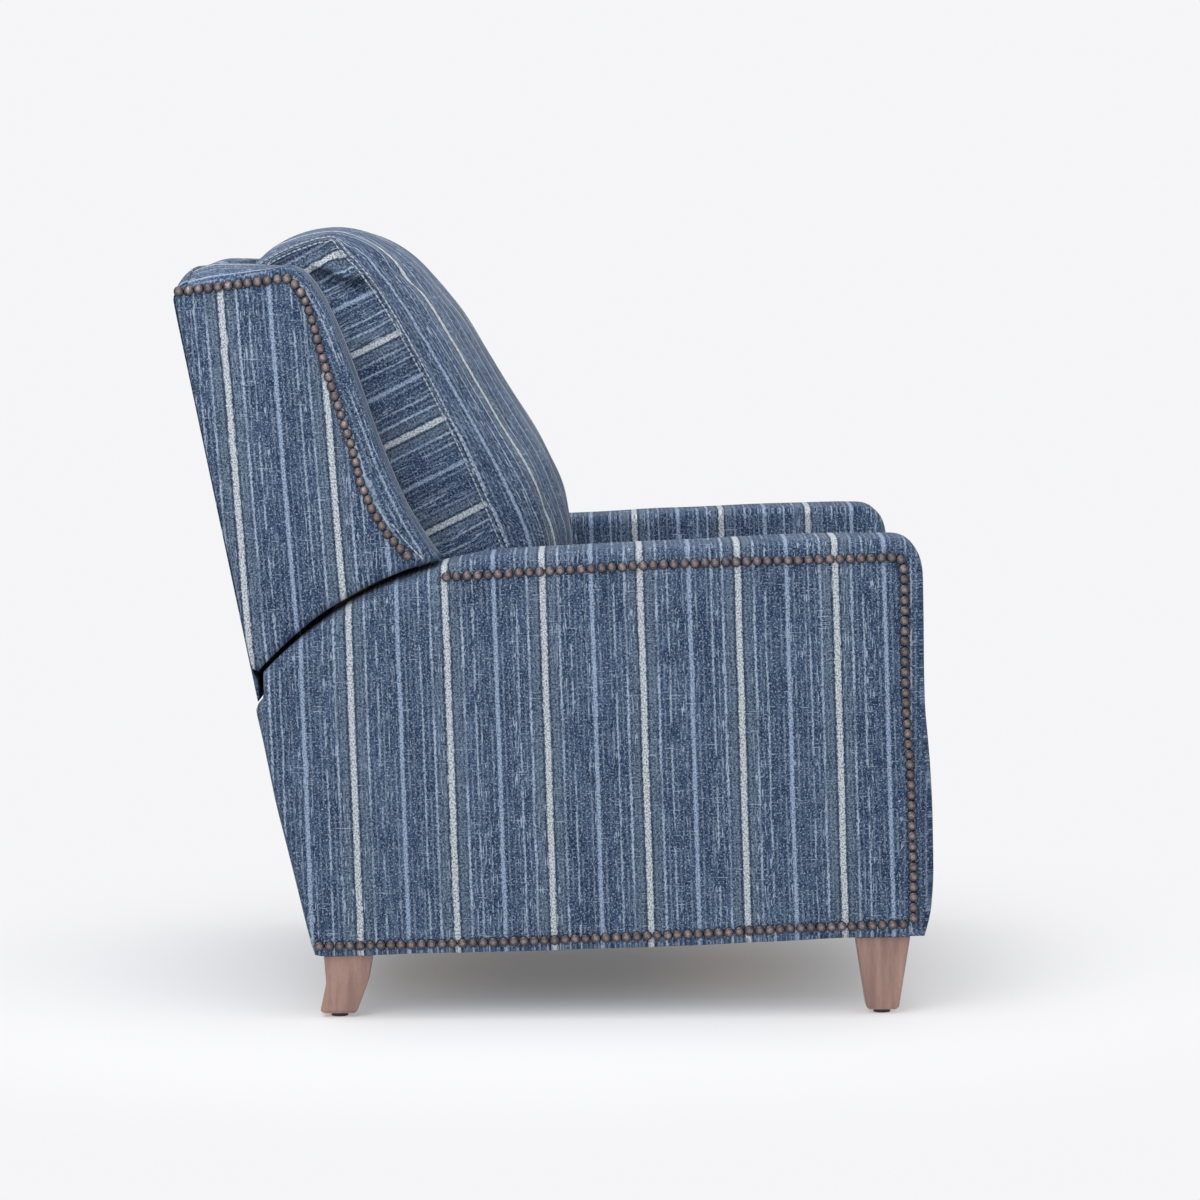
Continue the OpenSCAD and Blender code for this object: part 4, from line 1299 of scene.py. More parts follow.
@dataclass
class NailRow:
    """Rows of domed nail heads along lines on an outer face."""

    name: str
    side: Side
    body: str
    lines: list[np.ndarray]
    face_x: float
    pitch: float = 13.2
    radius: float = 6.6
    height: float = 3.9
    around: int = 10
    rings: Pairs = ((-1.2, 0.9), (0.1, 1.0), (1.5, 0.99), (2.8, 0.82), (3.6, 0.46))

    def build(self, finish: bpy.types.Material) -> bpy.types.Object:
        """Makes the heads as one piece, each a little different.

        Args:
            finish: the nails' metal.

        Returns:
            The piece.
        """
        rng = random.Random(len(self.name) + int(self.face_x))
        points: list[Vector] = []
        faces: Faces = []
        for line in self.lines:
            for y, z in even_steps(line, self.pitch):
                self.head(points, faces, y, z, rng)
        obj = piece_from(self.name, plain_form(points, faces), finish)
        # Each point's share from the head's middle to its rim, read by the nails' finish for its painted highlight
        # and painted rim shade; the second number is each head's own tone.
        shares = np.concatenate([np.repeat([r[1] for r in self.rings], self.around), [0.0, 0.9]])
        heads = len(points) // len(shares)
        own = np.repeat([rng.random() for _ in range(heads)], len(shares))
        map_points(obj.data, np.tile(shares, heads), own)
        return dress(obj, self.body)

    def head(self, points: list[Vector], faces: Faces, y: float, z: float, rng: random.Random) -> None:
        """Adds one head to the lists.

        Args:
            points: points so far.
            faces: faces so far.
            y: its place.
            z: its height.
            rng: source of the small differences.
        """
        around, base = self.around, len(points)
        tilt = Euler((0, rng.uniform(-0.09, 0.09), rng.uniform(-0.09, 0.09))).to_matrix()
        spin = rng.uniform(0, 1)
        size = self.radius * rng.uniform(0.96, 1.03)
        centre = Vector((self.side.value * self.face_x, y + rng.uniform(-0.3, 0.3), z + rng.uniform(-0.3, 0.3)))
        for rise, share in self.rings:
            for k in range(around):
                a = 2 * math.pi * (k + spin) / around
                p = tilt @ Vector((rise, size * share * math.cos(a), size * share * math.sin(a)))
                points.append(centre + Vector((self.side.value * p.x, p.y, p.z)))
        points.append(centre + Vector((self.side.value * self.height, 0, 0)))
        points.append(centre - Vector((self.side.value * 1.2, 0, 0)))
        steps = len(self.rings) - 1
        faces.extend(tube_faces(base, around, steps))
        top, crown = base + steps * around, base + len(self.rings) * around
        faces.extend((top + k, top + (k + 1) % around, crown) for k in range(around))
        faces.extend((base + (k + 1) % around, base + k, crown + 1) for k in range(around))


@dataclass
class Stitching:
    """Rows of sewing stitches that lie on a seam."""

    name: str
    body: str
    lines: list[np.ndarray]
    length: float = 6.5
    gap: float = 0.8
    radius: float = 1.15
    around: int = 5
    rings: Pairs = ((-0.5, 0.35), (-0.2, 1.0), (0.2, 1.0), (0.5, 0.35))

    def build(self, finish: bpy.types.Material) -> bpy.types.Object:
        """Makes the stitches as one piece.

        Args:
            finish: the thread.

        Returns:
            The piece.
        """
        points: list[np.ndarray] = []
        faces: Faces = []
        for line in self.lines:
            spots = even_steps(line, self.length + self.gap)
            along = unit(np.gradient(spots, axis=0))
            for p, d in zip(spots, along):
                side = unit(np.cross(d, [0.3, 0.2, 0.93]))
                up = np.cross(side, d)
                base = len(points)
                for share, r in self.rings:
                    for k in range(self.around):
                        a = 2 * math.pi * k / self.around
                        points.append(p + d * share * self.length
                                      + self.radius * r * (side * math.cos(a) + up * math.sin(a)))
                faces.extend(tube_faces(base, self.around, len(self.rings) - 1))
                faces.append(tuple(base + k for k in range(self.around)))
                faces.append(tuple(len(points) - self.around + k for k in range(self.around)))
        obj = piece_from(self.name, plain_form(points, faces), finish)
        return dress(obj, self.body)


# Sub-assemblies -----------------------------------------------------------------------------


@dataclass
class Arm:
    """One upholstered arm with its nail rows."""

    side: Side
    sizes: Sizes = SIZES
    roll: float = 12.0
    puff: float = 2.0
    crown: float = 1.5
    stripe_lean: float = 1.5
    stripe_start: float = 8.8
    stripe_level: float = 428.6
    front_start: float = 57.0
    front_limit: Pair = (-449.0, 597.0)
    rear_limit: float = 460.0
    nest_turns: Pair = (85.0, 42.5)
    parted: Pairs = ((45, 0.1), (58, 0.8), (64, 1), (70, 0.9), (77, 0))
    nail_top: Pairs = ((135, 574.5), (-160, 589.5), (-430, 595.5))
    nail_corner: Pairs = ((-430, 595.5), (-444, 596), (-449.5, 588), (-450, 574))
    nail_front: Pairs = (
        (-450, 574), (-451.5, 420), (-454.5, 375), (-459, 300), (-460.5, 228), (-462, 173), (-462.3, 116))
    nail_low: Pairs = (
        (304, 98), (150, 100.5), (16, 104), (-190, 111.5), (-318, 118), (-440, 121.5), (-463, 122.5))

    def outline(self) -> np.ndarray:
        """Side view of the arm and base.

        Returns:
            The closed outline.
        """
        s = self.sizes
        y, h, under = s.front_y, s.arm_h, s.cloth_under_z(s.front_y)
        nest = np.array(s.nest)
        end = nest + s.nest_r * direction(self.nest_turns[0])
        front = bezier([[y + 14, under], [y - 9, under + 90], [y + 3, h - 220], [y + 3.5, h - 56]], 36)[:-1]
        front[:, 0] -= np.interp(front[:, 1], *zip(*s.front_swell))
        rear = [[s.cloth_rear(z), z] for z in np.linspace(s.rear_panel_h, s.rear_under, 80)]
        foot = s.rear_foot_y + 3
        below = [[v, s.cloth_under_z(v)] for v in np.linspace(foot - 6, front[0, 0] + 12, 60)]
        return np.vstack([
            front,
            bezier([[y + 3.5, h - 56], [y + 3.5, h - 21], [y + 14, h], [y + 40, h]], 12)[:-1],
            bezier([[y + 40, h], [-250, h], [-60, h - 12], end], 30)[:-1],
            arc(s.nest, s.nest_r, *self.nest_turns, 36), rear, [[foot, s.cloth_under_z(foot) + 2]], below])

    def nail_lines(self) -> list[np.ndarray]:
        """Flat lines of the nail rows."""
        front = np.vstack([self.nail_top, self.nail_corner[1:], self.nail_front[1:]])
        return [front, np.array(self.nail_low)]

    def build(self, finishes: Finishes) -> None:
        """Makes the cover and the nails.

        Args:
            finishes: the chair's finishes.
        """
        s, sign = self.sizes, self.side.value
        lean = math.tan(math.radians(self.stripe_lean))

        def swell(p: np.ndarray, out: np.ndarray, t: np.ndarray) -> np.ndarray:
            """Crown of the top across the arm."""
            upward = np.clip(out[:, 1], 0, 1)
            return self.crown * upward**2 * (4 * t * (1 - t)) - self.crown * upward

        form = slab(self.outline(), Axis.X, self.side.span(s.inner_x, s.outer_x), self.roll,
                    (0.0, self.puff)[::sign], crown=swell, lines=self.nail_lines())
        press_rows(form, self.nail_lines(), sign, NAIL_PRESS)
        press_rows(form, [arc(s.nest, s.nest_r, 80, self.nest_turns[1], 36)], sign, depth=3.5, reach=9)
        part_edges(form, s.nest_r, -7.5, *zip(*self.parted))
        panel = Lay((0, 1, -lean), (-sign, 0, 1), self.stripe_start - lean * self.stripe_level)
        front = Lay((sign, -1, 0), (0, 0, 1), s.outer_x - s.front_y - self.front_start)
        rear = Lay((1, 0, 0), (0, 0, 1), s.rear_stripe)
        front_y, front_z = self.front_limit
        cover = piece_from(f"arm_upholstery_{self.side.tag}", form, finishes.cloth, [
            (panel, everywhere), (front, lambda m, n, p: (m[:, 1] < front_y) & (m[:, 2] < front_z)),
            (rear, lambda m, n, p: (n[:, 1] > 0.8) & (m[:, 2] < self.rear_limit))])
        soften(cover, size=95, height=1.3, seed=3.1 * sign)
        dress(cover, "base", [f"arm_cover_{self.side.tag}"])
        rows = [even_steps(line, 1.0) for line in self.nail_lines()]
        face = s.outer_x - self.puff + 0.1
        NailRow(f"arm_nails_{self.side.tag}", self.side, "base", rows, face).build(finishes.nail)


def press_rows(form: Form, lines: Sequence[np.ndarray], sign: int, depth: float, reach: float = 7) -> None:
    """Presses a face in along lines, such as its nail rows.

    Args:
        form: a form with thickness along X.
        lines: flat lines of the rows.
        sign: 1 for the high face, -1 for the low one.
        depth: how far the cloth is pressed in.
        reach: how far from a line the press fades.
    """
    outer = form.points[:, 0] * sign > np.percentile(form.points[:, 0] * sign, 80) - 8
    flat = form.points[outer][:, 1:]
    near = np.min([edge_distance(flat, line, False) for line in lines], axis=0)
    form.points[outer, 0] -= sign * depth * np.exp(-((near / reach) ** 2))


def part_edges(form: Form, radius: float, amount: float, turns: Sequence[float], shares: Sequence[float]) -> None:
    """Moves the outer edge of a nested arc away from its neighbour.

    Args:
        form: a form with thickness along X.
        radius: radius of the arc about the nest's middle.
        amount: how far the edge moves, outwards if positive.
        turns: angles in degrees.
        shares: share of the move at each of the angles.
    """
    away = form.points[:, 1:] - SIZES.nest
    size = np.linalg.norm(away, axis=1)
    turn = np.degrees(np.arctan2(away[:, 1], away[:, 0]))
    share = np.interp(turn, turns, shares) * np.exp(-(((size - radius) / 12) ** 2))
    share *= np.clip((np.abs(form.points[:, 0]) - 352) / 32, 0, 1) ** 2
    form.points[:, 1:] += away / size[:, None] * (amount * share)[:, None]


@dataclass
class Back:
    """Wings, crest, outside panel and inner straps of the back."""

    sizes: Sizes = SIZES
    roll: float = 7.0
    puff: float = 2.0
    stripe_lean: float = 0.0687
    stripe_start: float = 278.2
    stripe_level: float = 700.0
    back_stripe: float = 62.5
    shown_gap: float = 5.5
    tip_turn: float = 75.5
    reach: float = 42.0
    top_rise: float = 23.0
    top_front: float = 326.0
    flap_run: float = 18.0
    flap_t: Pair = (1.2, 4.0)
    strap_count: int = 5
    strap_wide: float = 48.0
    strap_t: float = 1.2
    strap_top: float = 850.0
    top_line: Pairs = ((330, 956), (337, 957), (472, 941))
    parted: Pairs = ((48, 0), (57, 1), (62, 0.7), (67, 0))
    piping: Pairs = ((202, 640), (190, 624), (176, 608), (161, 594))
    nail_crest: Pairs = ((472, 941), (404, 948), (337, 957), (330, 955))
    nail_wing: Pairs = (
        (330, 953), (319, 942.5), (308, 921), (298, 884), (286.5, 843.5), (273, 799), (254, 741), (244, 697),
        (229, 660), (211, 631), (189, 605), (175, 592))

    @property
    def nest_r(self) -> float:
        """Radius of the wings' lower edge about the nest's middle."""
        return self.sizes.nest_r + self.shown_gap

    @property
    def reach_z(self) -> float:
        """Height of the wings' lower rear ends."""
        return self.sizes.nest[1] + self.nest_r * math.sin(math.radians(self.reach))

    def wing_outline(self) -> np.ndarray:
        """Side view of a wing: nested lower edge, straight rear and curved front.

        Returns:
            The closed outline.
        """
        s = self.sizes
        low_z, high_z = self.reach_z + 4, s.back_h - 28
        return np.vstack([
            arc(s.nest, self.nest_r, self.tip_turn, self.reach, 32),
            [[s.back_rear(low_z) - s.skin, low_z], [s.back_rear(high_z) - s.skin, high_z]],
            arc(s.crest, s.crest_r - s.skin, -s.back_lean, 88, 6),
            self.front_edge()])

    def front_edge(self) -> np.ndarray:
        """The wing's front, from its top to its tip.

        Returns:
            Points without the tip's own.
        """
        s = self.sizes
        tip = np.array(s.nest) + self.nest_r * direction(self.tip_turn)
        top = np.array([s.crest[0] - s.crest_depth, s.back_h + self.top_rise])
        return bezier([top, top + [-66, -20], tip + [90, 105], tip], 40)[:-1]

    def build(self, finishes: Finishes) -> None:
        """Makes the pieces of the back.

        Args:
            finishes: the chair's finishes.
        """
        for side in Side:
            self.wing(side, finishes)
        self.outside(finishes)
        self.crest_roll(finishes)
        self.straps(finishes)

    def wing(self, side: Side, finishes: Finishes) -> None:
        """Makes a wing with its nails.

        Args:
            side: which side it is on.
            finishes: the chair's finishes.
        """
        s, sign = self.sizes, side.value
        lines = [np.vstack([self.nail_crest, self.nail_wing])]
        form = slab(self.wing_outline(), Axis.X, side.span(s.wing_in, s.wing_out), self.roll,
                    (0.0, self.puff)[::sign], lines=lines)
        form.points[:, 2] += s.crest_lift(form.points)
        press_rows(form, lines, sign, NAIL_PRESS)
        press_rows(form, [arc(s.nest, self.nest_r, 74, self.reach, 32)], sign, depth=5.0, reach=11)
        part_edges(form, self.nest_r, 2.5, *zip(*self.parted))
        start = self.stripe_start - self.stripe_lean * self.stripe_level
        panel = Lay((0, 1, -self.stripe_lean), (-sign, 0, 1), start)
        edge = EdgeLay(self.front_edge(), s.wing_out, 42.6)
        top = Lay((1, 0, 0), (0, 1, 0), self.back_stripe)
        front = np.array(self.nail_wing)

        def ahead(m: np.ndarray, n: np.ndarray, p: np.ndarray) -> np.ndarray:
            """Faces ahead of the front nail row."""
            return m[:, 1] < np.interp(m[:, 2], front[::-1, 1], front[::-1, 0])

        def above(m: np.ndarray, n: np.ndarray, p: np.ndarray) -> np.ndarray:
            """Faces above the crest's nail row."""
            return (m[:, 2] > np.interp(m[:, 1], *zip(*self.top_line))) & (m[:, 1] > self.top_front)

        cover = piece_from(f"wing_upholstery_{side.tag}", form, finishes.cloth, [
            (panel, everywhere), (edge, ahead), (top, above)])
        soften(cover, size=80, height=1.2, seed=5.3 * sign)
        dress(cover, "back", [f"wing_{side.tag}"])
        rows = [even_steps(np.vstack([self.nail_crest, self.nail_wing[1:]]), 1.0)]
        face = s.wing_out - self.puff + 0.1
        NailRow(f"wing_nails_{side.tag}", side, "back", rows, face, pitch=12.5).build(finishes.nail)
        piping = np.insert(np.array(self.piping), 0, sign * (s.wing_out - 1.6), 1)
        Stitching(f"wing_piping_{side.tag}", "back", [piping], length=9.0, gap=0.2, radius=1.1).build(finishes.thread)

    def outside(self, finishes: Finishes) -> None:
        """Makes the outside panel, which curls over the top and ends in the hanging flap.

        Args:
            finishes: the chair's finishes.
        """
        s = self.sizes
        step_z = self.reach_z - 5
        outer = np.vstack([
            even_steps(np.array([[s.back_rear(s.flap_h), s.flap_h], [s.back_rear(s.back_h - 22), s.back_h - 22]]), 9),
            arc(s.crest, s.crest_r, -s.back_lean, 84, 10)])
        out = unit(np.gradient(outer, axis=0))[:, ::-1] * [1, -1]
        wide, edge = s.wing_out - 8, 7.0
        rings = []
        for x in np.concatenate([[-wide], np.linspace(-wide + 3, -s.wing_in, 12),
                                 np.linspace(-s.wing_in + 2, s.wing_in - 2, 53),
                                 np.linspace(s.wing_in, wide - 3, 12), [wide]]):
            flap = np.interp(outer[:, 1], [s.flap_h, s.flap_h + self.flap_run], self.flap_t)
            thick = np.where(outer[:, 1] < step_z, flap, s.outside_t if abs(x) < s.wing_in - 1 else s.skin - 0.1)
            rise = 1.3 * (1 - math.exp(-(wide - abs(x)) / edge)) + 2.6 * (1 - (x / wide) ** 4)
            rear = np.clip(out[:, 0], 0, 1) * (outer[:, 1] > s.flap_h + 40)
            rear = np.where(outer[:, 1] > s.crest[1], 0.45, rear)
            face, back = outer + out * (rise * rear)[:, None], outer - out * thick[:, None]
            ring = np.insert(np.vstack([face, back[::-1]]), 0, x, 1)
            ring[:, 2] += s.crest_lift(ring)
            rings.append(ring)
        form = closed_form(rings, Axis.X, 9, level(-wide), level(wide))
        lay = Lay((1, 0, 0), (0, 0, 1), self.back_stripe)
        cover = piece_from("outside_back_upholstery", form, finishes.cloth, [(lay, everywhere)])
        dress(cover, "back", ["outside_back"])

    def crest_roll(self, finishes: Finishes) -> None:
        """Makes the padded roll along the top, between the wings.

        Args:
            finishes: the chair's finishes.
        """
        s = self.sizes
        top_z, low_z = s.back_h + 14, s.back_h - s.crest_below
        over = s.crest + [-s.crest_r + 2, s.crest_r + 1]
        inset = s.outside_t + 0.3
        outline = np.vstack([
            [[CUSHION.rear(low_z) + 1, low_z], [s.back_rear(low_z) - inset, low_z]],
            [[s.back_rear(s.back_h - 28) - inset, s.back_h - 28]],
            arc(s.crest, s.crest_r - inset, -s.back_lean, 60, 3),
            bezier([over, over + [-20, 5], [CUSHION.rear(top_z) + 22, top_z + 2],
                    [CUSHION.rear(top_z) + 1, top_z - 6]], 10)])
        outline = resample(anticlockwise(outline), 7)
        forward = np.where(outline[:, 0] < s.crest[0] - 60, CUSHION.rear_slope, 0)
        wide = s.wing_in - 0.3
        rings = []
        for x in np.linspace(-wide, wide, 49):
            ring = np.insert(outline, 0, x, 1)
            rise = s.crest_lift(ring)
            rings.append(ring + rise[:, None] * np.column_stack([0 * forward, forward, 1 + 0 * forward]))
        form = closed_form(rings, Axis.X, 12, level(-wide), level(wide))
        lay = Lay((1, 0, 0), (0, -1, 1), self.back_stripe)
        cover = piece_from("crest_upholstery", form, finishes.cloth, [(lay, everywhere)])
        soften(cover, size=60, height=1.6, seed=2.0)
        dress(cover, "back", ["crest_pad"])

    def straps(self, finishes: Finishes) -> None:
        """Makes the straps behind the back cushion, each bowed a little to the rear.

        Args:
            finishes: the chair's finishes.
        """
        lo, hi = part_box("back_webbing")
        wide, thick = self.strap_wide, self.strap_t
        points: list[np.ndarray] = []
        faces: Faces = []
        lean = math.atan(CUSHION.rear_slope)
        up = np.array([math.sin(lean), math.cos(lean)])
        away = np.array([math.cos(lean), -math.sin(lean)])
        xs = np.linspace(lo.x / MM, hi.x / MM, 25)
        low = self.sizes.cushion_low + 20
        for z in np.linspace(low, self.strap_top - wide, self.strap_count):
            foot = np.array([CUSHION.rear(z) + 2.5, z])
            base = len(points)
            for x in xs:
                bow = 0.9 * (1 - (x / xs[-1]) ** 2)
                for a, b in ((0, 0), (wide, 0), (wide, thick), (0, thick)):
                    flat = foot + up * a + away * (b * 0.8 + bow)
                    points.append(np.array([x, flat[0], flat[1]]))
            faces.extend(tube_faces(base, 4, len(xs) - 1))
            faces.append(tuple(base + k for k in range(4)))
            faces.append(tuple(len(points) - 4 + k for k in range(4)))
        straps = piece_from("back_straps", plain_form(points, faces), finishes.strap, smooth=False)
        dress(straps, "back", ["back_webbing"])


@dataclass
class BackCushion:
    """The boxed back cushion: striped front, border with the stripes across, sewn seams."""

    sizes: Sizes = SIZES
    rear_low_y: float = 190.0
    rear_top: Pair = (386.0, 965.0)
    stripe_start: float = 37.0
    crown_depth: float = 72.0
    border_along: Pair = (0.4436, 0.8962)
    border_mark: Pair = (202.4, 882.4)
    stations: int = 69
    front_steps: int = 56
    top_steps: int = 16
    side_gap: float = 2.3
    corner: Pair = (281.0, 54.0)
    bulge: float = 4.0
    seam_gap: float = 3.4
    crevice: Pairs = ((302, 963), (273, 954), (240, 950))

    @property
    def rear_slope(self) -> float:
        """Lean of the rear plane."""
        return (self.rear_top[0] - self.rear_low_y) / (self.rear_top[1] - self.sizes.cushion_low)

    @property
    def corner_place(self) -> np.ndarray:
        """Place of the border's upper corner, where the front seam turns to the rear."""
        return np.array([self.corner[0], self.sizes.back_h + self.corner[1]])

    def rear(self, z: float) -> float:
        """Y of the rear plane at a height."""
        return self.rear_low_y + (z - self.sizes.cushion_low) * self.rear_slope

    def profiles(self) -> tuple[np.ndarray, np.ndarray]:
        """Side views at the borders and in the middle, with as many points each.

        Returns:
            The side view at the borders and the one in the middle.
        """
        s = self.sizes
        low, h, top, corner = s.cushion_low, s.back_h, np.array(self.rear_top), self.corner_place
        rear = np.array([[self.rear(z), z] for z in np.linspace(top[1], low, 40)[1:]])
        front = bezier([[-14, low], [-74, 668], [25, 707], [60, 774], [127.5, 936], [202.7, h + 50.8]],
                       self.front_steps)
        seam = bezier([[40, low], [28, low + 20], [199, h + 1], corner], 200)
        levels = low + (front[:, 1] - low) * (corner[1] - low) / (front[-1, 1] - low)
        side = np.vstack([
            np.column_stack([np.interp(levels, seam[:, 1], seam[:, 0]), levels]),
            bezier([corner, [303, h + 60], [352, h + 40], top], self.top_steps)[1:], rear,
            np.linspace([self.rear_low_y, low], [40, low], 16)[1:-1]])
        middle = np.vstack([
            front, bezier([front[-1], [254, h + 93], [341, h + 87], top + [5, 20]], self.top_steps)[1:], rear,
            np.linspace([self.rear_low_y, low - 4], [-14, low], 16)[1:-1]])
        return side, middle

    def half_width(self, z: np.ndarray) -> np.ndarray:
        """Half width at a height: it spreads above the arms.

        Args:
            z: heights.

        Returns:
            One half width per height.
        """
        s = self.sizes
        t = np.clip((z - s.arm_h) / (s.back_h - s.cushion_low), 0, 1) / 0.6
        return s.moving_x + (s.wing_in - self.side_gap - s.moving_x) * np.minimum(t, 1)

    def border_x(self, flat: np.ndarray, d: np.ndarray) -> np.ndarray:
        """Distance of a border's face from the middle, which bulges away from its seams."""
        return self.half_width(flat[:, 1]) + self.bulge * (1 - np.exp(-((d / 40) ** 2))) - 3

    @staticmethod
    def rise(u: np.ndarray) -> np.ndarray:
        """Share of the crown reached at a share of the half width."""
        return np.sqrt(np.maximum(1 - u**3, 0))

    def build(self, finishes: Finishes) -> None:
        """Makes the cushion, fills it and sews its seams.

        Args:
            finishes: the chair's finishes.
        """
        side, middle = self.profiles()
        angles = np.linspace(-1, 1, self.stations)
        rings = []
        for a in angles:
            u = math.copysign(1 - (1 - abs(a)) ** 1.6, a)
            w = float(self.rise(abs(u)))
            flat = side * (1 - w) + middle * w
            rings.append(np.column_stack([u * self.half_width(flat[:, 1]), flat]))
        form = closed_form(rings, Axis.X, 11, lambda f, d: -self.border_x(f, d), self.border_x,
                           [np.array(self.crevice)])
        wide = self.sizes.wing_in - self.side_gap
        front = CrownLay(self.half_width, wide, self.crown_depth, self.rise, self.stripe_start)
        along = np.array(self.border_along)
        border = Lay((0, along[0], along[1]), (0, along[1], -along[0]), float(along @ np.array(self.border_mark)))
        cushion = piece_from("back_cushion_cover", form, finishes.cloth, [
            (front, everywhere), (border, on_part(1, 2))])
        place = form.points
        held = (place[:, 2] < self.sizes.cushion_low + 2) | (place[:, 1] > self.rear(place[:, 2]) - 2)
        for seam in form.seams:
            held[seam] = True
        inflate(cushion, start=5, limit=9, held=held)
        self.crease(cushion)
        soften(cushion, size=70, height=2.5, seed=4.0)
        subdivide(cushion)
        dress(cushion, "back", ["back_cushion"])
        self.sew(cushion, form, finishes)

    def crease(self, cushion: bpy.types.Object) -> None:
        """Folds each border in under its top corner and gathers the front's corner above it.

        Args:
            cushion: the filled cover, whose points are moved.
        """
        place = values_of(cushion.data.vertices, "co") / MM
        x, flat = place[:, 0].copy(), place[:, 1:].copy()
        half = self.half_width(flat[:, 1])
        line = np.array(self.crevice)
        gap, _ = follow(flat, line)
        above = flat[:, 1] > np.interp(flat[:, 0], line[::-1, 0], line[::-1, 1])
        press = np.where(above, -7 * np.exp(-(((gap - 5) / 9) ** 2)), 20 * np.exp(-(((gap - 3) / 9) ** 2)))
        place[:, 0] -= np.sign(x) * press * np.clip((np.abs(x) - half + 14) / 10, 0, 1)
        away = flat - self.corner_place
        run = away @ np.array([0.985, 0.17])
        gather = 4.5 * np.exp(-((run / 8) ** 2)) - 3 * np.exp(-(((run + 20) / 10) ** 2)) + 1.5 * np.exp(
            -(((run - 19) / 7) ** 2))
        near = np.exp(-(((half - np.abs(x)) / 45) ** 2)) * (np.abs(away @ np.array([-0.17, 0.985])) < 45)
        place[:, 2] += gather * near
        set_points(cushion.data, place * MM)

    def sew(self, cushion: bpy.types.Object, form: Form, finishes: Finishes) -> None:
        """Lays a row of stitches on each side of the front seams.

        Args:
            cushion: the shaped cover.
            form: its form, with the seams.
            finishes: the chair's finishes.
        """
        near = self.front_steps + self.top_steps
        lines = []
        for end, seam in enumerate(form.seams):
            ids = seam[:near]
            place = np.array([cushion.data.vertices[i].co[:] for i in ids]) / MM
            normal = np.array([cushion.data.vertices[i].normal[:] for i in ids])
            along = unit(np.gradient(place, axis=0))
            across = unit(np.cross(along, normal))
            for d in (-self.seam_gap, self.seam_gap):
                lines.append(place + across * d - normal * (0.6 if (d > 0) == (end == 0) else -0.1))
        Stitching("back_cushion_stitches", "back", lines).build(finishes.thread)


CUSHION = BackCushion()


